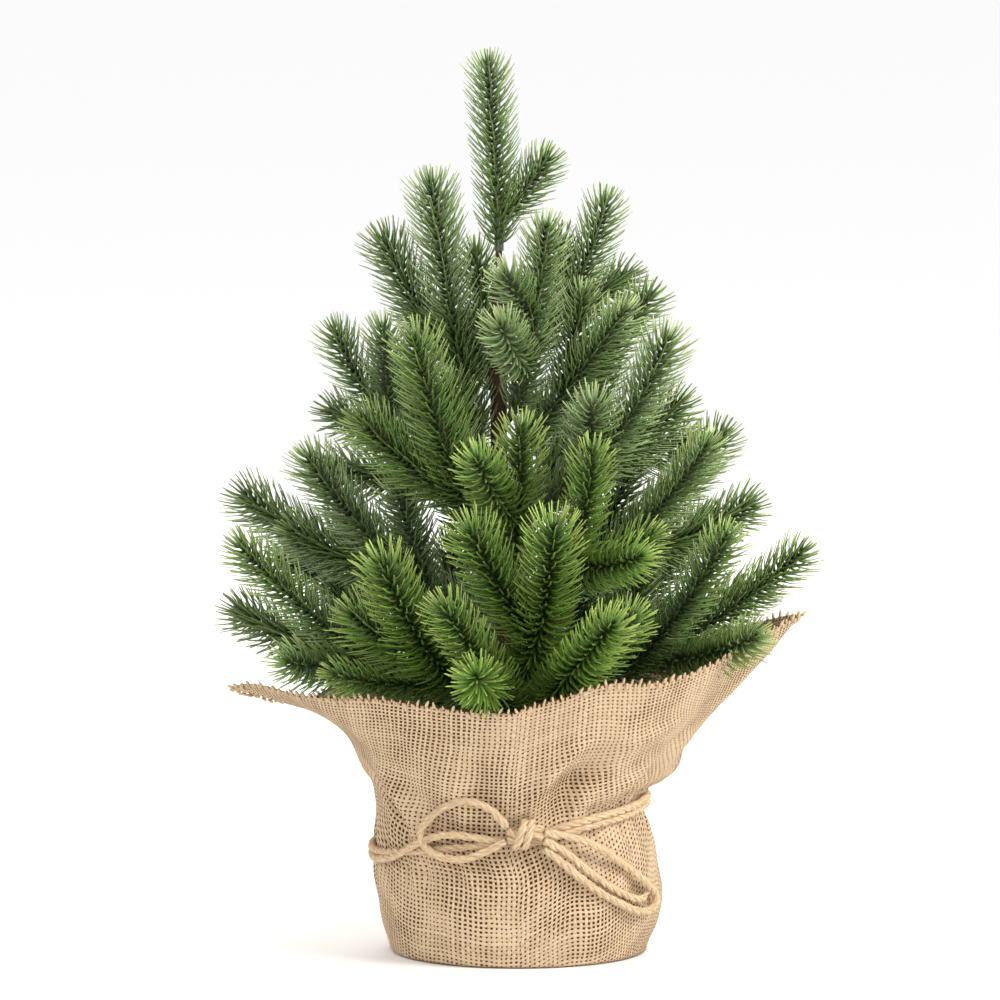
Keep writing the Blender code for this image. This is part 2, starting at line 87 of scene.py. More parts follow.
class NodeBench:
    """Adds and joins nodes in one node tree."""

    def __init__(self, tree: bpy.types.NodeTree) -> None:
        """Work on a shader or geometry node tree."""
        self.tree = tree

    def add(self, kind: str, settings: dict | None = None, **inputs: object) -> Node:
        """Add a node and feed its inputs.

        Args:
            kind: The node's type name.
            settings: Properties set on the node before its inputs are fed.
            inputs: Values or output sockets by input name, with _ for a space.

        Returns:
            The new node.
        """
        node = self.tree.nodes.new(kind)
        for name, value in (settings or {}).items():
            setattr(node, name, value)
        self.feed(node, **inputs)
        return node

    def join(self, socket: Socket, value: object) -> None:
        """Link an output to an input socket, or set the socket's own value."""
        if isinstance(value, Socket):
            self.tree.links.new(value, socket)
        else:
            socket.default_value = value

    def feed(self, node: Node, **inputs: object) -> None:
        """Set or link inputs.

        Args:
            node: The node that takes the values.
            inputs: Values or output sockets by input name, with _ for a space.
        """
        for name, value in inputs.items():
            self.join(self.socket(node.inputs, name.replace("_", " ")), value)

    @staticmethod
    def socket(sockets: Iterable, name: str) -> Socket:
        """The enabled socket of that name.

        Args:
            sockets: A node's inputs or outputs.
            name: The socket's name, in any case.

        Returns:
            The first enabled socket that has the name.
        """
        for socket in sockets:
            if socket.enabled and socket.name.lower() == name.lower():
                return socket
        raise KeyError(name)

    def attribute(self, name: str) -> Socket:
        """A number stored on the mesh, in a shader."""
        return self.add("ShaderNodeAttribute", {"attribute_name": name}).outputs["Fac"]

    def place(self) -> Socket:
        """The object's own coordinates, in a shader."""
        return self.add("ShaderNodeTexCoord").outputs["Object"]

    def maths(self, operation: str, first: object, second: object = 0.0, third: object = 0.0,
              clamp: bool = False) -> Socket:
        """One step of arithmetic.

        Args:
            operation: The Math node's operation.
            first: First value or socket.
            second: Second value or socket.
            third: Third value or socket.
            clamp: Whether the result is held between 0 and 1.

        Returns:
            The result's socket.
        """
        node = self.add("ShaderNodeMath", {"operation": operation, "use_clamp": clamp})
        for socket, value in zip(node.inputs, (first, second, third)):
            self.join(socket, value)
        return node.outputs[0]

    def remap(self, value: object, low: float, high: float, to_low: object = 0.0,
              to_high: object = 1.0, smooth: bool = True) -> Socket:
        """A value moved from one range to another and held inside it.

        Args:
            value: The value or socket to move.
            low: Where the first range starts.
            high: Where the first range ends.
            to_low: Result at low.
            to_high: Result at high.
            smooth: Whether the change eases in and out.

        Returns:
            The result's socket.
        """
        settings = {"interpolation_type": "SMOOTHSTEP" if smooth else "LINEAR"}
        node = self.add("ShaderNodeMapRange", settings, Value=value, From_Min=low, From_Max=high,
                        To_Min=to_low, To_Max=to_high)
        return self.socket(node.outputs, "Result")

    def mix_colour(self, share: object, first: object, second: object) -> Socket:
        """Two colours mixed.

        Args:
            share: How much of the second colour, 0 to 1.
            first: First colour or socket.
            second: Second colour or socket.

        Returns:
            The mixed colour's socket.
        """
        node = self.add("ShaderNodeMix", {"data_type": "RGBA"})
        for index, value in ((0, share), (6, first), (7, second)):
            self.join(node.inputs[index], (*value, 1.0) if isinstance(value, tuple) else value)
        return node.outputs[2]

    def noise(self, where: object, scale: float, detail: float = 2.0, rough: float = 0.5) -> Socket:
        """A noise value, about 0 to 1.

        Args:
            where: The coordinate socket.
            scale: Features per unit of the coordinate.
            detail: Octaves of finer noise.
            rough: How strong the finer noise is.

        Returns:
            The noise value's socket.
        """
        node = self.add("ShaderNodeTexNoise", Vector=where, Scale=scale, Detail=detail,
                        Roughness=rough)
        return node.outputs[0]


class NodeGroup:
    """A shader or geometry node group with named inputs and outputs."""

    def __init__(self, name: str, family: str, inputs: dict[str, str], outputs: dict[str, str]) -> None:
        """Start a group.

        Args:
            name: The group's name.
            family: Shader or Geometry.
            inputs: Kind of socket by input name.
            outputs: Kind of socket by output name.
        """
        self.tree = bpy.data.node_groups.new(name, family + "NodeTree")
        for way, sockets in (("INPUT", inputs), ("OUTPUT", outputs)):
            for label, kind in sockets.items():
                self.tree.interface.new_socket(name=label, in_out=way, socket_type="NodeSocket" + kind)
        self.bench = NodeBench(self.tree)
        self.given = self.tree.nodes.new("NodeGroupInput")
        self.result = self.tree.nodes.new("NodeGroupOutput")

    def take(self, name: str) -> Socket:
        """The socket of a group input."""
        return self.given.outputs[name]

    def give(self, name: str, value: Socket) -> None:
        """Link a value to a group output."""
        self.tree.links.new(value, self.result.inputs[name])


def fibre_grain_group() -> bpy.types.NodeTree:
    """Fine fibres drawn out along one axis, for jute, twine, tape and paper.

    Returns:
        A group with Vector, Along and Across in, and Grain and Tone out.
    """
    group = NodeGroup("fibre_grain", "Shader",
                      {"Vector": "Vector", "Along": "Float", "Across": "Float"},
                      {"Grain": "Float", "Tone": "Float"})
    bench = group.bench
    parts = bench.add("ShaderNodeSeparateXYZ", Vector=group.take("Vector")).outputs
    x, y, z = (bench.maths("MULTIPLY", part, group.take(drawn))
               for part, drawn in zip(parts, ("Across", "Along", "Across")))
    drawn_out = bench.add("ShaderNodeCombineXYZ", X=x, Y=y, Z=z)
    group.give("Grain", bench.noise(drawn_out.outputs[0], 1.0, 3.0, 0.6))
    group.give("Tone", bench.noise(group.take("Vector"), 90.0, 2.0, 0.5))
    return group.tree


def plain_weave_group() -> bpy.types.NodeTree:
    """Plain weave of round threads with open holes, from cloth coordinates in metres.

    Returns:
        A group with the cloth coordinates, the threads' pitches, their wander and the
        distance from the raw edge in, and the threads' height, cover, tone and depth out.
    """
    group = NodeGroup("plain_weave", "Shader",
                      {"Vector": "Vector", "Warp": "Float", "Weft": "Float", "Wander": "Float",
                       "Edge": "Float"},
                      {"Height": "Float", "Cover": "Float", "Tone": "Float", "Depth": "Float"})
    bench = group.bench
    maths = bench.maths
    where = group.take("Vector")
    x, y, _ = bench.add("ShaderNodeSeparateXYZ", Vector=where).outputs
    wander = group.take("Wander")
    fine = maths("MULTIPLY", wander, 0.35)

    def noise_at(shift: tuple, scale: float, rough: float) -> Socket:
        """Noise taken from another part of the cloth."""
        moved = bench.add("ShaderNodeVectorMath", {"operation": "ADD"})
        bench.join(moved.inputs[0], where)
        bench.join(moved.inputs[1], shift)
        return bench.noise(moved.outputs[0], scale, 2.0, rough)

    def wandered(part: Socket, broad_at: float, fine_at: float, pitch: str) -> Socket:
        """How many threads a point is across, where threads stray broadly and finely."""
        strayed = [maths("MULTIPLY", maths("SUBTRACT", noise_at((at, 2 * at, 0.0), scale, 0.55), 0.5),
                         amount)
                   for at, scale, amount in ((broad_at, 26.0, wander), (fine_at, 150.0, fine))]
        return maths("DIVIDE", maths("ADD", part, maths("ADD", *strayed)), group.take(pitch))

    a, b = wandered(x, 3.1, 7.7, "Warp"), wandered(y, 11.3, 17.9, "Weft")
    column, row = maths("FLOOR", a), maths("FLOOR", b)
    width = bench.remap(bench.noise(where, 26.0, 2.0, 0.6), 0.36, 0.64, 0.265, 0.385)
    edge = group.take("Edge")
    bottom = -1.2

    def thread(count: Socket, number: Socket, seed: float, slub_at: float, other: Socket,
               sign: float, frayed: Callable[[Socket], Socket]) -> tuple[Socket, Socket, Socket]:
        """One set of parallel threads.

        Args:
            count: Position across them, in threads.
            number: The thread's own number.
            seed: Where their random tones start.
            slub_at: Where the noise for their slubs is taken.
            other: Position along them, in threads of the other set, less its own number.
            sign: 1 or -1, which of the two sets rises first.
            frayed: How far from the raw edge a thread ends, from its tone.

        Returns:
            The threads' tone, height and cover.
        """
        white = bench.add("ShaderNodeTexWhiteNoise", {"noise_dimensions": "1D"},
                          W=maths("ADD", number, seed))
        tone = white.outputs[0]
        uneven = noise_at((slub_at, -slub_at, slub_at), 300.0, 0.6)
        half = maths("ADD", width, maths("ADD", maths("MULTIPLY_ADD", tone, 0.05, -0.025),
                                         maths("MULTIPLY_ADD", uneven, 0.22, -0.11)))
        share = maths("DIVIDE", maths("SUBTRACT", maths("FRACT", count), 0.5), half)
        inside = maths("SUBTRACT", 1.0, maths("MULTIPLY", share, share))
        crown = maths("SQRT", maths("MAXIMUM", inside, 0.0))
        phase = maths("ADD", maths("SUBTRACT", other, 0.5), number)
        wave = maths("COSINE", maths("MULTIPLY", phase, math.pi))
        height = maths("MULTIPLY_ADD", crown, 0.58, maths("MULTIPLY", wave, 0.42 * sign))
        stays = maths("GREATER_THAN", edge, frayed(tone))
        solid, fuzzy = (maths("MULTIPLY", bench.remap(inside, low, high, smooth=False), stays)
                        for low, high in ((0.0, 0.25), (-1.25, -0.85)))
        top = maths("MULTIPLY_ADD", maths("SUBTRACT", height, bottom), solid, bottom)
        return tone, top, fuzzy

    warp_tone, warp_top, warp_fuzz = thread(
        a, column, 0.37, 5.0, b, 1.0, lambda tone: maths("MULTIPLY_ADD", tone, 1.1 * MM, 0.2 * MM))
    weft_tone, weft_top, weft_fuzz = thread(
        b, row, 51.7, 9.0, a, -1.0,
        lambda tone: maths("MULTIPLY_ADD", bench.noise(where, 130.0, 1.0), 3.6 * MM, -0.2 * MM))
    top = maths("MAXIMUM", warp_top, weft_top)
    on_warp = maths("GREATER_THAN", warp_top, weft_top)
    group.give("Height", top)
    group.give("Cover", maths("MAXIMUM", warp_fuzz, weft_fuzz))
    group.give("Tone", maths("ADD", maths("MULTIPLY", warp_tone, on_warp),
                             maths("MULTIPLY", weft_tone, maths("SUBTRACT", 1.0, on_warp))))
    group.give("Depth", bench.remap(top, -0.25, 0.9, smooth=False))
    return group.tree


# --- Finishes ---


class Workshop:
    """Shader groups that several finishes use, each built once."""

    def __init__(self) -> None:
        """Build the shared groups."""
        self.grain = fibre_grain_group()
        self.weave = plain_weave_group()


def start_material(name: str) -> tuple[Material, NodeBench, Node]:
    """A new material with its bench and Principled shader.

    Args:
        name: The material's name.

    Returns:
        The material, a bench on its tree, and its shader node.
    """
    made = bpy.data.materials.new(name)
    made.use_nodes = True
    return made, NodeBench(made.node_tree), made.node_tree.nodes["Principled BSDF"]


def bumped(bench: NodeBench, height: Socket, strength: float, distance: float) -> Socket:
    """The normal that a height gives.

    Args:
        bench: The material's bench.
        height: The height's socket.
        strength: How strong the bump is.
        distance: Height of one unit, in metres.

    Returns:
        The normal's socket.
    """
    return bench.add("ShaderNodeBump", Strength=strength, Distance=distance, Height=height).outputs[0]


@dataclass(frozen=True)
class NeedleFinish:
    """Moulded polyethylene needles: deep green at the twig, partly their own colour and partly painted
    shade, paler and yellower at the ends, with painted shade on their undersides and painted sheen on their
    upper sides, most on the upper sprigs.
    """

    # Dark green at the needles' base: partly the plastic's own colour, partly painted shade deep inside the
    # sprig.
    deep: tuple = (0.030, 0.066, 0.008)
    middle: tuple = (0.155, 0.300, 0.036)
    tip: tuple = (0.380, 0.500, 0.095)
    # Pale sage painted sheen on the needles' upper sides.
    sheen_colour: tuple = (0.620, 0.690, 0.500)
    # Dark green painted shade on the needles' undersides.
    underside_shade: tuple = (0.024, 0.046, 0.010)
    roughness: float = 0.32
    specular: float = 0.70

    def build(self) -> Material:
        """Make the material, which reads the brushes' own attributes."""
        made, bench, shader = start_material("needle_plastic")
        along, shade, share, frost, below = (
            bench.attribute(name) for name in ("along", "shade", "share", "frost", "below"))
        body = bench.mix_colour(bench.remap(along, 0.05, 0.60), self.deep, self.middle)
        young = bench.remap(share, 0.55, 1.0, 0.25, 1.0)
        ends = bench.maths("MULTIPLY", bench.remap(along, 0.45, 1.0), young, clamp=True)
        body = bench.mix_colour(ends, body, self.tip)
        # Painted sheen: on the sprigs that are given a share of it, the needles' upper sides turn pale
        # sage, most towards their ends.
        sheen_mask = bench.maths("MULTIPLY", frost, bench.remap(along, 0.0, 0.8, 0.45, 1.0))
        sheen_mask = bench.maths("MULTIPLY", sheen_mask, bench.remap(below, 0.35, 0.65, 1.0, 0.25))
        body = bench.mix_colour(sheen_mask, body, self.sheen_colour)
        # Painted shade: the needles' undersides, the +X side of the model, are darkened.
        body = bench.mix_colour(bench.remap(below, 0.45, 0.95, 0.0, 0.70), body, self.underside_shade)
        toned = bench.add("ShaderNodeHueSaturation", Color=body,
                          Value=bench.remap(shade, 0.0, 1.0, 0.70, 1.35, smooth=False),
                          Hue=bench.remap(shade, 0.0, 1.0, 0.484, 0.506, smooth=False))
        place = bench.place()
        rough = bench.remap(bench.noise(place, 900.0), 0.3, 0.7,
                            self.roughness - 0.08, self.roughness + 0.10)
        bench.feed(shader, Base_Color=toned.outputs[0], Roughness=rough,
                   Specular_IOR_Level=self.specular,
                   Normal=bumped(bench, bench.noise(place, 1600.0), 0.25, 0.15 * MM))
        return made


@dataclass(frozen=True)
class JuteClothFinish:
    """Natural hessian: open plain weave, straw-coloured, with darker slubs, and painted shade in its holes
    and between its threads.
    """

    warp_pitch: float = 2.55 * MM
    weft_pitch: float = 2.25 * MM
    wander: float = 3.4 * MM
    light: tuple = (0.745, 0.570, 0.385)
    middle: tuple = (0.510, 0.355, 0.210)
    # Dark brown painted shade in the holes and low spots of the weave.
    dark: tuple = (0.085, 0.036, 0.009)

    def build(self, shop: Workshop) -> Material:
        """Make the material, which reads the cloth's own coordinates.

        Args:
            shop: The shared shader groups.

        Returns:
            The material.
        """
        made, bench, shader = start_material("jute_cloth")
        cloth = bench.add("ShaderNodeUVMap", {"uv_map": "cloth"}).outputs[0]
        down = bench.add("ShaderNodeSeparateXYZ", Vector=cloth).outputs[1]
        weave = bench.add("ShaderNodeGroup", {"node_tree": shop.weave}, Vector=cloth,
                          Warp=self.warp_pitch, Weft=self.weft_pitch, Wander=self.wander,
                          Edge=bench.maths("MULTIPLY", down, -1.0)).outputs
        grain = bench.add("ShaderNodeGroup", {"node_tree": shop.grain}, Vector=cloth,
                          Along=2600.0, Across=2600.0).outputs["Grain"]
        tone = bench.maths("MULTIPLY_ADD", weave["Tone"], 0.20, bench.maths("MULTIPLY", grain, 0.92))
        colour = bench.mix_colour(bench.remap(tone, 0.25, 0.85), self.middle, self.light)
        patch = bench.noise(cloth, 22.0, 3.0, 0.6)
        colour = bench.mix_colour(bench.remap(patch, 0.55, 0.8, 0.0, 0.35), colour, self.middle)
        # Painted shade: the holes and the low parts of the weave turn dark brown and lose their specular,
        # and the holes stay mostly opaque so that this shade shows.
        painted_recess_shade = bench.remap(weave["Depth"], 0.02, 0.60, 1.0, 0.0)
        fibrous = bench.maths("MULTIPLY_ADD", grain, 0.45, weave["Height"])
        bench.feed(shader, Base_Color=bench.mix_colour(painted_recess_shade, colour, self.dark), Roughness=0.92,
                   Specular_IOR_Level=bench.remap(painted_recess_shade, 0.0, 0.8, 0.15, 0.0),
                   Alpha=bench.remap(weave["Cover"], 0.0, 1.0, 0.8, 1.0),
                   Normal=bumped(bench, fibrous, 1.0, 0.55 * MM))
        return made


@dataclass(frozen=True)
class TwineFinish:
    """Jute twine: pale plies with painted shade in the grooves between them, and a little sheen."""

    light: tuple = (0.850, 0.680, 0.460)
    # The fibres' darker tone, also mixed into the grooves as painted shade.
    dark: tuple = (0.420, 0.265, 0.130)

    def build(self, shop: Workshop) -> Material:
        """Make the material, which reads each ply's own coordinates.

        Args:
            shop: The shared shader groups.

        Returns:
            The material.
        """
        made, bench, shader = start_material("jute_twine")
        lay = bench.add("ShaderNodeUVMap", {"uv_map": "lay"}).outputs[0]
        grain = bench.add("ShaderNodeGroup", {"node_tree": shop.grain}, Vector=lay, Along=260.0,
                          Across=5200.0).outputs["Grain"]
        colour = bench.mix_colour(bench.remap(grain, 0.35, 0.66), self.dark, self.light)
        # Painted shade: the grooves between the plies are mixed towards the dark colour.
        painted_recess_shade = bench.remap(bench.attribute("groove"), 0.15, 0.75, 0.0, 0.85)
        bench.feed(shader, Base_Color=bench.mix_colour(painted_recess_shade, colour, self.dark), Roughness=0.85,
                   Specular_IOR_Level=0.2, Normal=bumped(bench, grain, 0.9, 0.30 * MM))
        return made


@dataclass(frozen=True)
class TapeFinish:
    """Brown crepe-paper tape wound on wire, with painted tan highlights in patches along its lapped edges.
    """

    brown: tuple = (0.070, 0.034, 0.014)
    # Tan painted highlight along the tape's raised edges.
    highlight_tan: tuple = (0.330, 0.165, 0.060)

    def build(self, shop: Workshop) -> Material:
        """Make the material.

        Args:
            shop: The shared shader groups.

        Returns:
            The material.
        """
        made, bench, shader = start_material("paper_tape")
        grain, tone = bench.add("ShaderNodeGroup", {"node_tree": shop.grain}, Vector=bench.place(),
                                Along=2400.0, Across=2400.0).outputs
        # Painted highlight: tan patches along the raised edge where each turn laps over the last.
        lap_edge = bench.remap(bench.attribute("groove"), 0.0, 1.0, 0.35, 1.0)
        edge_highlight = bench.maths("MULTIPLY", bench.remap(tone, 0.50, 0.66), lap_edge, clamp=True)
        bench.feed(shader, Base_Color=bench.mix_colour(edge_highlight, self.brown, self.highlight_tan),
                   Roughness=bench.remap(grain, 0.3, 0.7, 0.65, 0.95),
                   Normal=bumped(bench, grain, 0.6, 0.25 * MM))
        return made


@dataclass(frozen=True)
class GrainyFinish:
    """A plain moulded, cast or drawn surface with fine grain and small colour changes."""

    name: str
    colour: tuple
    other: tuple
    roughness: float
    metallic: float = 0.0
    scale: float = 350.0
    height: float = 0.1 * MM

    def build(self, shop: Workshop) -> Material:
        """Make the material.

        Args:
            shop: The shared shader groups.

        Returns:
            The material.
        """
        made, bench, shader = start_material(self.name)
        place = bench.place()
        grain = bench.add("ShaderNodeGroup", {"node_tree": shop.grain}, Vector=place,
                          Along=self.scale * 4, Across=self.scale * 4).outputs["Grain"]
        patch = bench.remap(bench.noise(place, self.scale / 6, 3.0, 0.6), 0.35, 0.65)
        bench.feed(shader, Base_Color=bench.mix_colour(patch, self.colour, self.other),
                   Metallic=self.metallic,
                   Roughness=bench.remap(grain, 0.3, 0.7, self.roughness - 0.06,
                                         self.roughness + 0.06),
                   Normal=bumped(bench, grain, 0.5, self.height))
        return made


@dataclass
class Finishes:
    """Every material of the tree."""

    needles: Material
    cloth: Material
    twine: Material
    tape: Material
    pot: Material
    plaster: Material
    steel: Material

    @classmethod
    def make(cls) -> "Finishes":
        """Build them all."""
        shop = Workshop()
        # Dark brown plastic: partly the pot's own colour, partly painted shade for what shows through the
        # sack's holes.
        pot = GrainyFinish("pot_plastic", (0.030, 0.019, 0.012), (0.044, 0.029, 0.018), 0.5)
        plaster = GrainyFinish("cast_plaster", (0.62, 0.59, 0.54), (0.50, 0.47, 0.43), 0.9,
                               scale=500.0, height=0.4 * MM)
        steel = GrainyFinish("drawn_steel", (0.46, 0.45, 0.43), (0.36, 0.35, 0.34), 0.38,
                             metallic=1.0, scale=900.0)
        return cls(NeedleFinish().build(), JuteClothFinish().build(shop),
                   TwineFinish().build(shop), TapeFinish().build(shop), pot.build(shop),
                   plaster.build(shop), steel.build(shop))


# --- Meshes, paths and guides ---


def link_mesh(name: str, mesh: Mesh, material: Material | None = None) -> Object:
    """Put a mesh in the scene as an object at the origin.

    Args:
        name: The object's name.
        mesh: Its mesh, already in place.
        material: Its material, or None for a guide or a model.

    Returns:
        The object.
    """
    made = bpy.data.objects.new(name, mesh)
    bpy.context.scene.collection.objects.link(made)
    if material is not None:
        mesh.materials.clear()
        mesh.materials.append(material)
    return made


def settle(piece: Object, slot: Slot, node: str | None = None, body: str = "root") -> None:
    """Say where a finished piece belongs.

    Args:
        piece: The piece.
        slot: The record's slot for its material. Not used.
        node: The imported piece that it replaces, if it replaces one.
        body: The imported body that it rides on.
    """
    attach(piece, body)
    if node is not None:
        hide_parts(node)


def dress_node(node: str, finish: Material) -> None:
    """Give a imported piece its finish."""
    mesh = frame["nodes"][node].data
    mesh.materials.clear()
    mesh.materials.append(finish)


def mesh_from(name: str, points: Sequence, faces: list) -> Mesh:
    """A smooth-shaded mesh from N by 3 places and tuples of point numbers."""
    mesh = bpy.data.meshes.new(name)
    mesh.from_pydata(np.asarray(points, float).tolist(), [], faces)
    mesh.shade_smooth()
    return mesh


def ring_faces(rings: int, sides: int, start: int = 0, caps: bool = True) -> list:
    """Faces of a tube whose points are listed ring by ring.

    Args:
        rings: How many rings.
        sides: Points in each ring.
        start: Number of the first point.
        caps: Whether the two ends are closed.

    Returns:
        The faces.
    """
    faces = []
    for low in range(start, start + (rings - 1) * sides, sides):
        for k in range(sides):
            j = (k + 1) % sides
            faces.append((low + k, low + j, low + sides + j, low + sides + k))
    if caps:
        faces.append(tuple(range(start + sides - 1, start - 1, -1)))
        top = start + (rings - 1) * sides
        faces.append(tuple(range(top, top + sides)))
    return faces


def set_values(mesh: Mesh, name: str, values: Sequence[float]) -> None:
    """Store one number for each point of a mesh."""
    attribute = mesh.attributes.new(name, "FLOAT", "POINT")
    attribute.data.foreach_set("value", np.asarray(values, np.float32))


def set_coordinates(mesh: Mesh, name: str, corners: Sequence) -> None:
    """Store surface coordinates for each face corner of a mesh."""
    layer = mesh.uv_layers.new(name=name)
    layer.data.foreach_set("uv", np.asarray(corners, np.float32).ravel())


def spread(points: Array, count: int) -> Array:
    """A number of places evenly spaced along a polyline, with both ends kept."""
    lengths = np.linalg.norm(np.diff(points, axis=0), axis=1)
    reached = np.concatenate([[0.0], np.cumsum(lengths)])
    at = np.linspace(0.0, reached[-1], count)
    return np.stack([np.interp(at, reached, points[:, k]) for k in range(3)], axis=1)


def resampled(points: Array, step: float) -> Array:
    """Places along a polyline at about an even step, with both ends kept."""
    length = np.cumsum(np.linalg.norm(np.diff(points, axis=0), axis=1))[-1]
    return spread(points, max(2, int(round(length / step)) + 1))


def curve_through(own: Array, steps: int = 12) -> Array:
    """A smooth curve through given places.

    Args:
        own: The given places, or arrays of places, first to last.
        steps: New places for each stretch between two of them.

    Returns:
        The curve's places, with both ends kept.
    """
    ends = np.concatenate([2 * own[:1] - own[1:2], own, 2 * own[-1:] - own[-2:-1]])
    made = []
    for a, b, c, d in zip(ends, ends[1:], ends[2:], ends[3:]):
        for t in np.linspace(0.0, 1.0, steps + 1)[:-1]:
            made.append(0.5 * (2 * b + (c - a) * t + (2 * a - 5 * b + 4 * c - d) * t ** 2
                               + (3 * b - a - 3 * c + d) * t ** 3))
    return np.array([*made, own[-1]])


def carried_frames(points: Array) -> tuple[Array, Array]:
    """Side and up vectors along a path, carried without twist.

    Args:
        points: N by 3 places.

    Returns:
        Side and up vectors, each N by 3.
    """
    ahead = np.gradient(points, axis=0)
    ahead /= np.linalg.norm(ahead, axis=1)[:, None]
    seed = np.array([0.0, 0.0, 1.0]) if abs(ahead[0][2]) < 0.9 else np.array([1.0, 0.0, 0.0])
    side = np.cross(seed, ahead[0])
    sides = []
    for direction in ahead:
        side = side - direction * side.dot(direction)
        side = side / np.linalg.norm(side)
        sides.append(side)
    return np.array(sides), np.cross(ahead, sides)


def around(radius: float | Array, angle: Array, side: Array, up: Array) -> Array:
    """Places round a line's point, or along a line, from its side and up vectors."""
    return side * (radius * np.cos(angle))[:, None] + up * (radius * np.sin(angle))[:, None]


@dataclass
class Guide:
    """One polyline that bristles are planted on."""

    points: Array
    core: Array
    bare: Array
    reach: float = 1.0
    # How much painted sheen the needles planted on it get on their upper sides.
    frost: float = 0.0
    aims: Array | None = None

    @classmethod
    def plain(cls, points: Array, aims: Array | None = None) -> "Guide":
        """A guide with a thin core that is planted from end to end."""
        return cls(points, np.full(len(points), 0.1 * MM), np.zeros(len(points)), aims=aims)


def guide_mesh(name: str, guides: Sequence[Guide]) -> Mesh:
    """One mesh of polylines from guides.

    Args:
        name: The mesh's name.
        guides: The lines and what is stored along them.

    Returns:
        The mesh, with the bristle tree's attributes.
    """
    points, edges, aims = [], [], []
    numbers = {label: [] for label in ("core", "bare", "reach", "frost")}
    for guide in guides:
        first, count = len(points), len(guide.points)
        points.extend(guide.points.tolist())
        edges.extend((first + i, first + i + 1) for i in range(count - 1))
        aims.extend(carried_frames(guide.points)[0] if guide.aims is None else guide.aims)
        for label, values in numbers.items():
            values.extend(np.broadcast_to(getattr(guide, label), count))
    mesh = bpy.data.meshes.new(name)
    mesh.from_pydata(points, edges, [])
    aimed = mesh.attributes.new("aim", "FLOAT_VECTOR", "POINT")
    aimed.data.foreach_set("vector", np.asarray(aims, np.float32).ravel())
    for label, values in numbers.items():
        set_values(mesh, label, values)
    return mesh


# --- Bristles: needles, fibres and frayed threads along a guide ---


@dataclass
class BristleSizes:
    """How bristles stand along a guide."""

    spacing: float
    ring: int = 1
    tilt_start: float = 73.0
    tilt_end: float = 44.0
    tilt_jitter: float = 3.5
    roll_jitter: float = 6.0
    scale_start: float = 0.78
    scale_end: float = 0.52
    ease_in: float = 9.0 * MM
    ease_out: float = 9.0 * MM
    scale_jitter: float = 0.07
    core: bool = True
    seed: int = 1


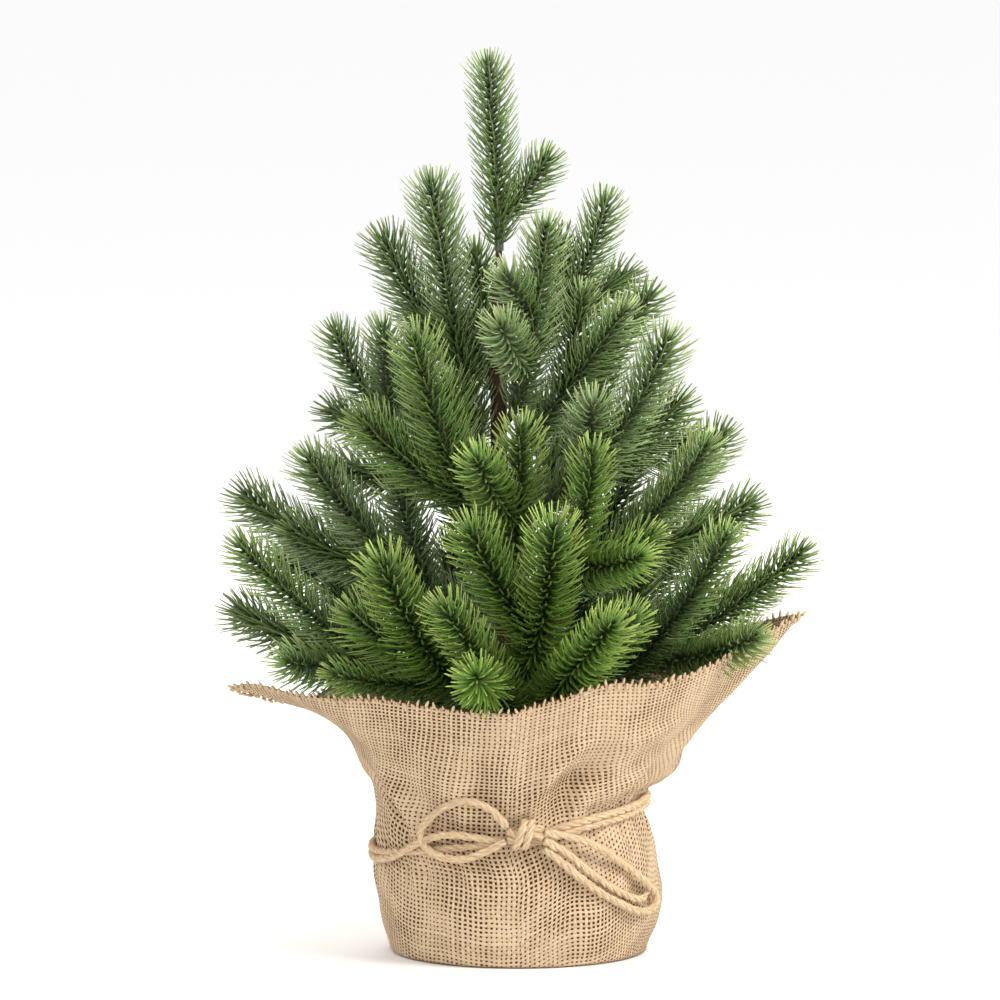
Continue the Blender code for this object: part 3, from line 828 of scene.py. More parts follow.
class BristleTree(NodeGroup):
    """The Geometry Nodes tree that plants bristles along guides and gives them a core.

    A guide is a mesh of open polylines with the point attributes aim (a direction
    across the line), core (the core's radius), bare (1 where nothing is planted)
    and reach (a bristle's length as a share of its model's).
    """

    ANGLES = ("Tilt Start", "Tilt End", "Tilt Jitter", "Roll Jitter")
    NUMBERS = ("Spacing", *ANGLES, "Scale Start", "Scale End", "Ease In", "Ease Out",
               "Scale Jitter")

    def __init__(self) -> None:
        """Build the tree."""
        super().__init__("bristles_along_guides", "Geometry",
                         {"Guides": "Geometry", "Bristle": "Object",
                          **{label: "Float" for label in self.NUMBERS},
                          "Ring": "Int", "Seed": "Int", "Core": "Bool", "Finish": "Material"},
                         {"Bristles": "Geometry"})
        self._build()

    def _named(self, name: str, kind: str = "FLOAT") -> Socket:
        """A guide attribute."""
        node = self.bench.add("GeometryNodeInputNamedAttribute", {"data_type": kind}, Name=name)
        return self.bench.socket(node.outputs, "Attribute")

    def _chance(self, low: object, high: object, salt: int) -> Socket:
        """A random number for each bristle.

        Args:
            low: Least value or socket.
            high: Greatest value or socket.
            salt: A number of its own for each use.

        Returns:
            The random value's socket.
        """
        seed = self.bench.maths("ADD", self.take("Seed"), float(salt))
        node = self.bench.add("FunctionNodeRandomValue", {"data_type": "FLOAT"}, Seed=seed,
                              Min=low, Max=high)
        return self.bench.socket(node.outputs, "Value")

    def _spin(self, rotation: Socket, axis: tuple, angle: Socket) -> Socket:
        """A rotation turned about one of its own axes."""
        turn = self.bench.add("FunctionNodeAxisAngleToRotation", Axis=axis, Angle=angle)
        return self.bench.add("FunctionNodeRotateRotation", {"rotation_space": "LOCAL"},
                              Rotation=rotation, Rotate_By=turn.outputs[0]).outputs[0]

    def _stored(self, geometry: Socket, name: str, value: Socket, domain: str) -> Socket:
        """The geometry with a number stored under a name."""
        return self.bench.add("GeometryNodeStoreNamedAttribute",
                              {"data_type": "FLOAT", "domain": domain},
                              Geometry=geometry, Name=name, Value=value).outputs[0]

    def _turned(self, share: Socket, number: Socket, into_end: Socket) -> Socket:
        """How each bristle stands: rolled round the line in rows, and tilted off it.

        Args:
            share: How far along the line it stands, 0 to 1.
            number: The number of its place on the line.
            into_end: How far into the eased end it stands.

        Returns:
            Its rotation.
        """
        bench, maths = self.bench, self.bench.maths
        axes = bench.add("FunctionNodeAxesToRotation", {"primary_axis": "Z", "secondary_axis": "X"},
                         Primary_Axis=bench.add("GeometryNodeInputTangent").outputs[0],
                         Secondary_Axis=self._named("aim", "FLOAT_VECTOR"))
        ring = self.take("Ring")
        odd = maths("MODULO", maths("FLOOR", maths("DIVIDE", number, ring)), 2.0)
        place = maths("MULTIPLY_ADD", odd, 0.5, maths("MODULO", number, ring))
        roll = maths("MULTIPLY", place, maths("DIVIDE", FULL_TURN, ring))
        tilt_range = maths("SUBTRACT", self.take("Tilt End"), self.take("Tilt Start"))
        tilt = maths("MULTIPLY_ADD", into_end, tilt_range, self.take("Tilt Start"))
        rotation = axes.outputs[0]
        for angle, jitter, salt, axis in ((roll, "Roll Jitter", 1, (0.0, 0.0, 1.0)),
                                          (tilt, "Tilt Jitter", 2, (0.0, 1.0, 0.0))):
            most = self.take(jitter)
            strayed = self._chance(maths("MULTIPLY", most, -1.0), most, salt)
            rotation = self._spin(rotation, axis, maths("ADD", angle, strayed))
        return rotation

    def _build(self) -> None:
        """Lay the nodes out, from guides to realised bristles with a material."""
        bench, maths = self.bench, self.bench.maths
        lines = bench.add("GeometryNodeMeshToCurve", Mesh=self.take("Guides")).outputs[0]
        even = bench.add("GeometryNodeResampleCurve", {"mode": "LENGTH"}, Curve=lines,
                         Length=self.take("Spacing"))
        along = bench.add("GeometryNodeSplineParameter").outputs
        share = along["Factor"]
        planted = self._stored(even.outputs[0], "share", share, "POINT")

        whole = bench.add("GeometryNodeSplineLength").outputs[0]
        walked = maths("MULTIPLY", share, whole)
        into = maths("DIVIDE", walked, self.take("Ease In"), clamp=True)
        near_end = maths("DIVIDE", maths("SUBTRACT", whole, walked), self.take("Ease Out"), clamp=True)
        out = maths("POWER", maths("SUBTRACT", 1.0, near_end), 1.4)

        start, jitter = self.take("Scale Start"), self.take("Scale Jitter")
        grown = maths("MULTIPLY_ADD", into, maths("SUBTRACT", 1.0, start), start)
        shrunk = maths("MULTIPLY_ADD", out, maths("SUBTRACT", self.take("Scale End"), 1.0), 1.0)
        uneven = self._chance(maths("SUBTRACT", 1.0, jitter), maths("ADD", 1.0, jitter), 3)
        length = maths("MULTIPLY", maths("MULTIPLY", grown, shrunk),
                       maths("MULTIPLY", uneven, self._named("reach")))
        scale = bench.add("ShaderNodeCombineXYZ", X=length, Y=self._chance(0.85, 1.2, 4), Z=length)
        model = bench.add("GeometryNodeObjectInfo", Object=self.take("Bristle"))
        planting = bench.add("GeometryNodeInstanceOnPoints", Points=planted,
                             Selection=maths("LESS_THAN", self._named("bare"), 0.5),
                             Instance=bench.socket(model.outputs, "Geometry"),
                             Rotation=self._turned(share, along["Index"], out),
                             Scale=scale.outputs[0])
        shaded = self._stored(planting.outputs[0], "shade", self._chance(0.0, 1.0, 5), "INSTANCE")

        coarse = bench.add("GeometryNodeResampleCurve", {"mode": "LENGTH"}, Curve=lines,
                           Length=2.0 * MM)
        outline = bench.add("GeometryNodeCurvePrimitiveCircle", Resolution=8, Radius=1.0)
        core = bench.add("GeometryNodeCurveToMesh", Curve=coarse.outputs[0],
                         Profile_Curve=outline.outputs[0], Scale=self._named("core"),
                         Fill_Caps=True)
        chosen = bench.add("GeometryNodeSwitch", {"input_type": "GEOMETRY"},
                           Switch=self.take("Core"), true=core.outputs[0])
        joined = bench.add("GeometryNodeJoinGeometry")
        for geometry in (shaded, chosen.outputs[0]):
            self.tree.links.new(geometry, joined.inputs[0])
        real = bench.add("GeometryNodeRealizeInstances", Geometry=joined.outputs[0])
        dressed = bench.add("GeometryNodeSetMaterial", Geometry=real.outputs[0],
                            Material=self.take("Finish"))
        self.give("Bristles", dressed.outputs[0])

    def plant(self, name: str, guides: Sequence[Guide], bristle: Object, sizes: BristleSizes,
              finish: Material) -> Object:
        """Plant bristles on guides as one plain mesh.

        Args:
            name: The new piece's name.
            guides: The lines that they stand on.
            bristle: The model of one bristle, standing along +Z from the origin.
            sizes: How they stand.
            finish: Their material.

        Returns:
            The piece, with no modifier on it.
        """
        holder = link_mesh(name + "_guides", guide_mesh(name, guides))
        modifier = holder.modifiers.new("bristles", "NODES")
        modifier.node_group = self.tree
        keys = {item.name: item.identifier for item in self.tree.interface.items_tree
                if item.item_type == "SOCKET" and item.in_out == "INPUT"}
        for label in self.NUMBERS:
            value = float(getattr(sizes, label.lower().replace(" ", "_")))
            modifier[keys[label]] = math.radians(value) if label in self.ANGLES else value
        for label, value in (("Ring", sizes.ring), ("Seed", sizes.seed), ("Core", sizes.core),
                             ("Bristle", bristle), ("Finish", finish)):
            modifier[keys[label]] = value
        graph = bpy.context.evaluated_depsgraph_get()
        mesh = bpy.data.meshes.new_from_object(holder.evaluated_get(graph), depsgraph=graph)
        mesh.name = name
        bpy.data.objects.remove(holder)
        return link_mesh(name, mesh, finish)


@dataclass
class BristleModel:
    """One bristle standing along +Z: a tapered blade that curves back towards -X."""

    name: str
    length: float
    width: float
    thickness: float
    curve: float
    rings: int = 4
    sides: int = 4
    blunt_from: float = 0.94

    def build(self) -> Object:
        """Make the model's object, with how far along it each point is, and how far it faces +X, the
        needle's underside once tilted, which the needle finish paints with shade.

        Returns:
            The object, which is removed once everything is planted.
        """
        points, along, below = [], [], []
        for i in range(self.rings):
            t = self.blunt_from * i / (self.rings - 1)
            full = 0.72 + 0.28 * math.sin(math.pi * min(t * 1.6, 1.0))
            taper = full * (1.0 - 0.50 * t ** 3)
            for k in range(self.sides):
                turn = FULL_TURN * (k + 0.5) / self.sides
                x = 0.5 * self.thickness * taper * math.cos(turn) * math.sqrt(2)
                y = 0.5 * self.width * taper * math.sin(turn) * math.sqrt(2)
                points.append((x - self.curve * t * t, y, self.length * t))
                along.append(t)
                # below: 1 on the +X side, the needle's underside once tilted, which the needle finish
                # paints with shade.
                below.append(0.5 + 0.5 * math.cos(turn) * math.sqrt(2))
        tip = len(points)
        points.append((-self.curve, 0.0, self.length))
        faces = ring_faces(self.rings, self.sides, caps=False)
        faces.append(tuple(range(self.sides - 1, -1, -1)))
        last = tip - self.sides
        faces.extend((last + k, last + (k + 1) % self.sides, tip) for k in range(self.sides))
        mesh = mesh_from(self.name, points, faces)
        set_values(mesh, "along", [*along, 1.0])
        set_values(mesh, "below", [*below, 0.5])
        return link_mesh(self.name, mesh)


# --- Branches and trunk ---


class Tip(NamedTuple):
    """A side twig: where it forks, as a share of the main twig, where it ends, its needles."""

    fork: float
    end: tuple
    reach: float = 1.0


class Branch(NamedTuple):
    """A branch's shape in millimetres, and how its needles look."""

    name: str
    bend: tuple
    end: tuple
    sides: tuple
    # How much painted sheen its needles get on their upper sides; the upper sprigs get the most.
    frost: float = 0.0
    reach: float = 1.0


BRANCHES = (
    Branch("upper_right_back", (32, 16, 316), (46, 27, 377),
           (Tip(0.42, (18, 36, 358)), Tip(0.40, (60, 50, 334))), 0.35, 0.92),
    Branch("upper_left", (-26, -9, 266), (-43, -3, 388),
           (Tip(0.30, (-69, 18, 358)), Tip(0.24, (-20, 5, 319))), 0.4, 1.08),
    Branch("upper_front", (7, -25, 280), (15, -29, 370),
           (Tip(0.52, (-9, -46, 346)), Tip(0.30, (-10, -62, 322))), 0.28, 0.95),
    Branch("upper_right", (28, -20, 284), (57, -31, 327),
           (Tip(0.40, (34, 0, 334)), Tip(0.48, (70, 10, 331))), 0.25, 0.95),
    Branch("mid_right_front", (54, -35, 246), (76, -43, 316),
           (Tip(0.34, (38, -54, 284)), Tip(0.32, (85, 6, 277))), 0.3, 1.08),
    Branch("upper_left_back", (-70, 8, 254), (-93, 12, 314),
           (Tip(0.50, (-66, -12, 318)), Tip(0.42, (-98, 40, 268))), 0.3, 0.92),
    Branch("mid_left_front", (-32, -42, 230), (-52, -55, 318),
           (Tip(0.30, (-81, -40, 274)), Tip(0.36, (-36, -26, 292))), 0.1, 1.14),
    Branch("mid_front", (1, -60, 208), (2, -72, 276), (Tip(0.46, (-22, -99, 261)),), 0.05, 1.0),
    Branch("mid_left", (-70, -11, 196), (-107, -15, 253),
           (Tip(0.36, (-118, 6, 212)), Tip(0.34, (-141, 30, 227)), Tip(0.30, (-60, -24, 243))), 0.35, 1.06),
    Branch("low_mid_right_front", (34, -68, 192), (37, -85, 266),
           (Tip(0.46, (65, -94, 210)), Tip(0.36, (72, -56, 218))), 0.0, 0.92),
    Branch("mid_right", (66, -24, 204), (97, -36, 262),
           (Tip(0.42, (106, 24, 260)), Tip(0.36, (122, 38, 221)), Tip(0.30, (60, 4, 254))), 0.2, 0.98),
    Branch("low_front_centre", (15, -82, 158), (18, -108, 231), (Tip(0.44, (-26, -98, 227)),), 0.0, 1.18),
    Branch("low_right", (94, 0, 152), (146, 4, 203),
           (Tip(0.32, (106, -46, 218)), Tip(0.40, (122, -53, 166)), Tip(0.28, (64, 10, 204))), 0.12, 0.95),
    Branch("low_front_right", (26, -92, 148), (50, -122, 183), (Tip(0.45, (61, -90, 184)),), 0.0, 1.0),
    Branch("low_front", (-2, -90, 138), (-41, -112, 191), (Tip(0.52, (-22, -134, 157)),), 0.0, 1.0),
    Branch("low_left_front", (-48, -78, 148), (-68, -98, 212),
           (Tip(0.46, (-86, -68, 181)), Tip(0.34, (-98, -76, 150), 0.66)), 0.0, 1.16),
    Branch("low_left", (-82, -22, 144), (-141, -30, 211),
           (Tip(0.42, (-119, -55, 153)), Tip(0.46, (-144, 32, 169)), Tip(0.34, (-94, 18, 187))), 0.15, 1.0),
    Branch("upper_back", (-14, 34, 290), (-22, 46, 350),
           (Tip(0.38, (12, 66, 328)), Tip(0.36, (-58, 52, 318))), 0.15, 0.95),
    Branch("mid_right_back", (34, 56, 240), (48, 74, 294),
           (Tip(0.40, (8, 90, 268)), Tip(0.38, (94, 62, 250)), Tip(0.28, (56, 36, 242))), 0.1, 1.0),
    Branch("mid_left_back", (-40, 56, 232), (-62, 82, 286),
           (Tip(0.40, (-20, 100, 256)), Tip(0.40, (-102, 78, 234)), Tip(0.26, (-50, 34, 240))), 0.1, 1.0),
    Branch("low_right_back", (64, 62, 162), (98, 96, 210),
           (Tip(0.42, (58, 128, 190)), Tip(0.42, (130, 72, 176)), Tip(0.26, (34, 40, 196))), 0.0, 1.0),
    Branch("low_back", (-2, 88, 154), (0, 130, 206),
           (Tip(0.45, (38, 134, 164)), Tip(0.45, (-36, 140, 170))), 0.0, 1.0),
    Branch("low_left_back", (-60, 72, 170), (-92, 106, 212),
           (Tip(0.42, (-124, 78, 190)), Tip(0.42, (-58, 134, 186)), Tip(0.26, (-34, 40, 206))), 0.0, 1.0),
)
LEADER = Branch("leader", (-8, 0, 372), (-15, 0, 447), (Tip(0.20, (19, 8, 399)),), 0.22, 0.92)


def bent_line(start: Array, bend: Array, end: Array) -> Array:
    """A smooth line from start to end that heads for a bend."""
    t = np.linspace(0.0, 1.0, 49)[:, None]
    return resampled(start * (1 - t) ** 2 + bend * 2 * t * (1 - t) + end * t * t, 1.0 * MM)


@dataclass
class BranchBuilder:
    """Builds a branch's needle sprig and its taped stem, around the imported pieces."""

    bristles: BristleTree
    needle: Object
    finishes: Finishes
    stem_share: float = 0.20
    socket_depth: float = 8.0 * MM
    stem_radius: float = 1.75 * MM
    collar_radius: float = 2.3 * MM
    collar_taper: float = 5.0 * MM
    twig_radius: float = 1.25 * MM
    twig_end_radius: float = 0.8 * MM
    end_trim: float = 7.5 * MM
    sleeve_start: int = 6
    bare_length: float = 2.0 * MM
    side_sag: float = 0.12
    row_pitch: float = 2.7 * MM
    ring: int = 9
    tape_pitch: float = 5.5 * MM

    def side_line(self, main: Array, tip: Tip) -> Array:
        """A side twig's line, which sags so that its end turns up.

        Args:
            main: The main twig's line.
            tip: Where the side twig forks and ends.

        Returns:
            The side twig's line.
        """
        start = main[int(round(tip.fork * (len(main) - 1)))]
        end = np.array(tip.end) * MM
        sag = np.array([0.0, 0.0, self.side_sag * np.linalg.norm(end - start)])
        return bent_line(start, (start + end) / 2 - sag, end)

    def twig_guide(self, line: Array, branch: Branch, tip: Tip | None = None) -> Guide:
        """The guide for one twig's needles and core.

        Args:
            line: The twig's line.
            branch: The branch that it is on.
            tip: The side twig, or None for the main one, which has the socket collar.

        Returns:
            The guide.
        """
        at = np.arange(len(line)) * np.linalg.norm(line[1] - line[0])
        kept = at < at[-1] - self.end_trim
        line, at = line[kept], at[kept]
        core = np.interp(at, [0.0, at[-1]], [self.twig_radius, self.twig_end_radius])
        if tip is None:
            sleeve = self.stem_share * at[-1] + self.socket_depth
            collar = np.interp(at, [0.0, sleeve, sleeve + self.collar_taper], [1.0, 1.0, 0.0])
            core = core + collar * (self.collar_radius - core)
        core[-1] = 0.25 * self.twig_end_radius
        reach = branch.reach * (tip.reach if tip else 1.0)
        return Guide(line, core, (at < self.bare_length).astype(float), reach, branch.frost)

    def build_sprig(self, branch: Branch, main: Array, seed: int) -> Object:
        """The needle sprig as one mesh.

        Args:
            branch: The branch's shape.
            main: The main twig's line.
            seed: Fixed seed for its needles.

        Returns:
            The sprig's object.
        """
        guides = [self.twig_guide(main[self.sleeve_start:], branch)]
        guides.extend(self.twig_guide(self.side_line(main, tip), branch, tip) for tip in branch.sides)
        sizes = BristleSizes(spacing=self.row_pitch / self.ring, ring=self.ring, seed=seed)
        return self.bristles.plant(f"needles_{branch.name}", guides, self.needle, sizes,
                                   self.finishes.needles)

    def build_stem(self, branch: Branch, main: Array) -> Object:
        """The taped wire from the hinge into the sprig's socket."""
        last = int(round(self.stem_share * (len(main) - 1))) + int(self.socket_depth / MM)
        line = np.vstack([main[0] - (main[1] - main[0]) * 1.2, main[:last]])
        return wound_tube(f"taped_stem_{branch.name}", line, (self.stem_radius,) * 2,
                          self.tape_pitch, 0.16 * self.stem_radius, 12, self.finishes.tape)

    def build(self, branch: Branch, joint: dict, seed: int) -> None:
        """Build and dress one branch.

        Args:
            branch: The branch's shape.
            joint: The joint that its body hangs on.
            seed: Fixed seed for its needles.
        """
        main = bent_line(np.array(joint["pos_m"], float), np.array(branch.bend) * MM,
                         np.array(branch.end) * MM)
        for piece, node, slot in ((self.build_sprig(branch, main, seed), "sprig_", Slot.NEEDLES),
                                  (self.build_stem(branch, main), "stem_", Slot.STEM_TAPE)):
            settle(piece, slot, node + branch.name, joint["child"])
            LOG.info("%s: %d faces on %s", piece.name, len(piece.data.polygons), joint["child"])


def wound_tube(name: str, line: Array, radii: tuple[float, float], pitch: float, lap: float,
               sides: int, finish: Material) -> Object:
    """A rod wound with tape: each turn laps over the last one.

    Args:
        name: The piece's name.
        line: The rod's centre line.
        radii: The radius at its two ends.
        pitch: The tape's advance in one turn.
        lap: Height of the step where the tape laps.
        sides: Points in each ring.
        finish: The tape's material.

    Returns:
        The piece.
    """
    path = resampled(line, pitch / 9)
    side, up = carried_frames(path)
    step = np.linalg.norm(path[1] - path[0])
    turns = np.arange(sides) / sides
    points, edge_highlight = [], []
    for i, centre in enumerate(path):
        phase = (i * step / pitch + turns) % 1.0
        crease = 0.35 * lap * np.array([noise(Vector((i * 0.9, k * 1.7, len(path)))) for k in range(sides)])
        radius = radii[0] + (radii[1] - radii[0]) * (i / (len(path) - 1)) - lap + lap * phase + crease
        points.extend(centre + around(radius, turns * FULL_TURN, side[i], up[i]))
        # How near each point is to the raised edge of its turn, where the tape finish paints a tan
        # highlight.
        edge_highlight.extend(phase ** 3)
    mesh = mesh_from(name, points, ring_faces(len(path), sides))
    set_values(mesh, "groove", edge_highlight)
    return link_mesh(name, mesh, finish)


@dataclass
class Trunk:
    """The paper-taped trunk over its steel core."""

    finishes: Finishes
    foot_radius: float = 5.5 * MM
    top_radius: float = 4.0 * MM
    tape_pitch: float = 9.0 * MM
    lap: float = 0.7 * MM

    def build(self) -> None:
        """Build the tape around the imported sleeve, and dress the core."""
        places = np.array([v.co for v in frame["nodes"]["trunk_tape"].data.vertices])
        centres = []
        for level in sorted({round(z, 4) for z in places[:, 2]}):
            ring = places[np.abs(places[:, 2] - level) < 0.2 * MM]
            centres.append((ring.min(0) + ring.max(0)) / 2)
        line = resampled(np.array(centres), 2.0 * MM)
        piece = wound_tube("trunk_tape_wound", line, (self.foot_radius, self.top_radius),
                           self.tape_pitch, self.lap, 20, self.finishes.tape)
        settle(piece, Slot.STEM_TAPE, "trunk_tape")
        dress_node("trunk_core", self.finishes.steel)
        LOG.info("trunk: tape from %.3f to %.3f m", line[0][2], line[-1][2])


@dataclass
class Pot:
    """The plastic pot with its rolled rim, and the plaster weight."""

    finishes: Finishes
    wall: float = 1.6 * MM
    draught: float = 9.0 * MM
    rim_drop: float = 3.5 * MM
    segments: int = 96
    sharp_from: float = 50.0

    def build(self) -> None:
        """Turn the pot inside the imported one's box, and dress the weight."""
        low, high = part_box("pot")
        top, rise = (high.x - low.x) / 2, high.z - low.z
        foot, drop = top - self.draught, rise - self.rim_drop
        outline = [(foot - 6 * MM, 1.2 * MM), (foot - 4 * MM, 0.0), (foot - 1 * MM, 0.0),
                   (foot, 1.0 * MM), (top - 1.8 * MM, drop - 0.6 * MM), (top - 0.4 * MM, drop),
                   (top, drop + 0.5 * MM), (top, rise - 0.6 * MM), (top - 0.6 * MM, rise),
                   (top - 1.4 * MM, rise), (top - 1.8 * MM - self.wall, rise - 1.2 * MM),
                   (foot - self.wall, 3.0 * MM), (foot - self.wall - 1.5 * MM, 2.8 * MM)]
        angle = np.arange(self.segments) * FULL_TURN / self.segments
        points = []
        for radius, height in outline:
            points.extend(zip(radius * np.cos(angle), radius * np.sin(angle),
                              np.full(self.segments, low.z + height)))
        mesh = mesh_from("pot", points, ring_faces(len(outline), self.segments))
        mesh.set_sharp_from_angle(angle=math.radians(self.sharp_from))
        settle(link_mesh("pot_turned", mesh, self.finishes.pot), Slot.POT, "pot")
        dress_node("plaster_weight", self.finishes.plaster)
        LOG.info("pot: %.0f mm across its rim", 2000 * top)


# --- Twine ---

LEFT_LOOP_ROUTE = (
    (-0.0050, -0.0738, 0.0715), (-0.0125, -0.0745, 0.0800), (-0.0225, -0.0735, 0.0843),
    (-0.0330, -0.0690, 0.0822), (-0.0420, -0.0650, 0.0756), (-0.0472, -0.0596, 0.0674),
    (-0.0448, -0.0604, 0.0600), (-0.0366, -0.0650, 0.0556), (-0.0258, -0.0690, 0.0553),
    (-0.0152, -0.0716, 0.0594), (-0.0056, -0.0729, 0.0646),
)
RIGHT_LOOP_ROUTE = (
    (0.0133, -0.0735, 0.0690), (0.0230, -0.0698, 0.0668), (0.0335, -0.0655, 0.0635),
    (0.0440, -0.0589, 0.0568), (0.0540, -0.0499, 0.0484), (0.0625, -0.0390, 0.0398),
    (0.0678, -0.0292, 0.0322), (0.0672, -0.0307, 0.0262), (0.0610, -0.0418, 0.0252),
    (0.0520, -0.0526, 0.0300), (0.0415, -0.0613, 0.0370), (0.0315, -0.0671, 0.0452),
    (0.0215, -0.0709, 0.0541), (0.0130, -0.0735, 0.0612),
)
TAIL_ROUTE = (
    (0.0131, -0.0742, 0.0652), (0.0185, -0.0722, 0.0620), (0.0255, -0.0690, 0.0572),
    (0.0345, -0.0645, 0.0488), (0.0445, -0.0580, 0.0406), (0.0540, -0.0492, 0.0342),
    (0.0605, -0.0407, 0.0312), (0.0640, -0.0350, 0.0335),
)


@dataclass
class LaidTwine:
    """Jute twine: plies laid round each other, with loose fibres."""

    bristles: BristleTree
    fibre: Object
    finishes: Finishes
    radius: float = 1.75 * MM
    plies: int = 3
    lay: float = 17.0 * MM
    ply_share: float = 0.67
    offset_share: float = 0.51
    sides: int = 8
    step: float = 0.9 * MM
    frayed_length: float = 6.0 * MM
    frayed_share: float = 0.45

    def strands(self, paths: Sequence[Array], taper: float = 1.0) -> Mesh:
        """The plies of one or more stretches as one mesh.

        Args:
            paths: The stretches' centre lines.
            taper: The last point's radius as a share of the first one's.

        Returns:
            The mesh, with ply coordinates and how deep in the lay each point is.
        """
        places, faces, groove, laid = [], [], [], []
        angles = FULL_TURN * np.arange(self.sides) / self.sides
        for number, path in enumerate(paths):
            line = resampled(path, self.step)
            side, up = carried_frames(line)
            run = np.arange(len(line)) * np.linalg.norm(line[1] - line[0])
            fade = np.interp(run, [0.0, max(run[-1] - self.frayed_length, 0.0), run[-1]],
                             [1.0, 1.0, taper])
            for ply in range(self.plies):
                wobble = np.array([noise(Vector((r * 140, ply * 7.3, number * 3.1))) for r in run])
                turn = FULL_TURN * (run / self.lay + ply / self.plies) + 0.5 * wobble
                reach = self.radius * self.offset_share * (1 + 0.18 * wobble)
                centre = line + around(reach, turn, side, up)
                ply_side, ply_up = carried_frames(centre)
                thick = self.radius * self.ply_share * (1 + 0.20 * wobble) * fade
                rings = np.stack([centre + around(thick, np.full(len(run), angle), ply_side, ply_up)
                                  for angle in angles], axis=1)
                depth = np.linalg.norm(rings - line[:, None], axis=2)
                groove.extend((1.0 - np.clip(depth / self.radius, 0.0, 1.0)).ravel())
                across = angles * self.radius * 0.6 + ply * 0.02 + number * 0.1
                laid.extend((u, v) for v in run for u in across)
                faces.extend(ring_faces(len(run), self.sides, len(places)))
                places.extend(rings.reshape(-1, 3))
        mesh = mesh_from("twine", places, faces)
        set_values(mesh, "groove", groove)
        corner = np.zeros(len(mesh.loops), np.int32)
        mesh.loops.foreach_get("vertex_index", corner)
        set_coordinates(mesh, "lay", np.array(laid)[corner])
        return mesh

    def twisted(self, name: str, node: str, paths: Sequence[Array], spacing: float, seed: int,
                taper: float = 1.0) -> tuple[Object, Object]:
        """A piece of twine and its loose fibres, both settled.

        Args:
            name: The piece's name.
            node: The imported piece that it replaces.
            paths: Its stretches' centre lines.
            spacing: Distance between fibres along the twine.
            seed: Fixed seed for the fibres.
            taper: The last point's radius as a share of the first one's.

        Returns:
            The piece and its fibres.
        """
        piece = link_mesh(name, self.strands(paths, taper), self.finishes.twine)
        settle(piece, Slot.TWINE, node)
        sizes = BristleSizes(spacing=spacing, ring=7, tilt_start=38.0, tilt_end=38.0,
                             tilt_jitter=30.0, roll_jitter=180.0, scale_start=1.0,
                             scale_end=1.0, scale_jitter=0.45, core=False, seed=seed)
        guides = [Guide.plain(resampled(path, self.step)) for path in paths]
        fibres = self.bristles.plant(name + "_fibres", guides, self.fibre, sizes,
                                     self.finishes.twine)
        settle(fibres, Slot.TWINE)
        LOG.info("%s: %d stretches of twine", name, len(paths))
        return piece, fibres

    def free_cord(self, name: str, node: str, route: Sequence, far_end: str, seed: int) -> None:
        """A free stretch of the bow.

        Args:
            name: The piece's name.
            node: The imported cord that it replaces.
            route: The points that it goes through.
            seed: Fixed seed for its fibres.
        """
        path = resampled(curve_through(np.array(route)), self.step)
        taper = self.frayed_share if far_end == "bare" else 1.0
        piece, fibres = self.twisted(name, node, [path], 0.26 * MM, seed, taper)
        tuple(route[0])


@dataclass
class WaistTie:
    """The twine's two turns round the sack's waist, and the bow's knot."""

    twine: LaidTwine
    height: float = 63.0 * MM
    tilt: float = 0.19
    sack_radius: float = 65.5 * MM
    shift: float = 4.0 * MM
    spread: float = 1.75 * MM
    slack_at: float = 244.0
    slack_width: float = 22.0
    slack_rise: float = 11.0 * MM
    slack_out: float = 4.5 * MM

    def turns(self) -> list[Array]:
        """The centre lines of the two turns, crossing each other once at the back."""
        angle = np.linspace(-0.5 * math.pi + 0.02, 1.5 * math.pi - 0.02, 500)
        swap = np.clip(1.6 * np.cos((angle + 0.5 * math.pi) / 2), -1, 1)
        slack = np.exp(-((angle - math.radians(self.slack_at)) / math.radians(self.slack_width)) ** 2)
        lines = []
        for sign, loose in ((-1, 0.0), (1, slack)):
            reach = self.sack_radius + self.twine.radius + 0.5 * MM + 0.6 * MM * np.cos(3 * angle + sign)
            reach = reach + self.slack_out * loose
            x, y = reach * np.cos(angle), reach * np.sin(angle)
            z = self.height + self.tilt * x + sign * self.spread * swap
            z = z + 0.5 * MM * np.sin(5 * angle) + self.slack_rise * loose
            lines.append(np.stack([x - self.shift, y, z], 1))
        return lines

    def knot_lines(self) -> list[Array]:
        """The short strands that make the knot: two wraps over the front, and a cross strand."""
        low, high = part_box("twine_knot")
        centre, half = np.array((low + high) / 2), np.array((high - low) / 2)
        angle = np.linspace(-0.62 * math.pi, 0.62 * math.pi, 40)
        lines = []
        for shift, lean in ((-2.3 * MM, 0.35), (1.5 * MM, 0.25)):
            x = centre[0] + shift + lean * half[2] * np.sin(angle)
            y = centre[1] + 1.5 * MM - (half[1] - 0.6 * MM) * np.cos(angle)
            lines.append(np.stack([x, y, centre[2] + (half[2] - 0.6 * MM) * np.sin(angle)], 1))
        t = np.linspace(-1.0, 1.0, 40)
        x = centre[0] + t * (half[0] + 0.8 * MM)
        y = centre[1] + 1.6 * MM - 1.8 * MM * np.cos(t * math.pi / 2)
        for rise in (2.6 * MM, -2.0 * MM):
            lines.append(np.stack([x, y, centre[2] + rise * t + 1.2 * MM * np.sin(3 * t)], 1))
        return lines

    def build(self) -> None:
        """Build the wraps and the knot and dress them."""
        self.twine.twisted("waist_turns", "twine_waist", self.turns(), 0.34 * MM, 31)
        self.twine.twisted("bow_knot", "twine_knot", self.knot_lines(), 0.34 * MM, 32)


# --- Sack ---


class Fold(NamedTuple):
    """A fold in the sack: angle round it in degrees, heights in millimetres, and size."""

    angle: float
    low: float
    high: float
    width: float
    depth: float
    slant: float = 0.0


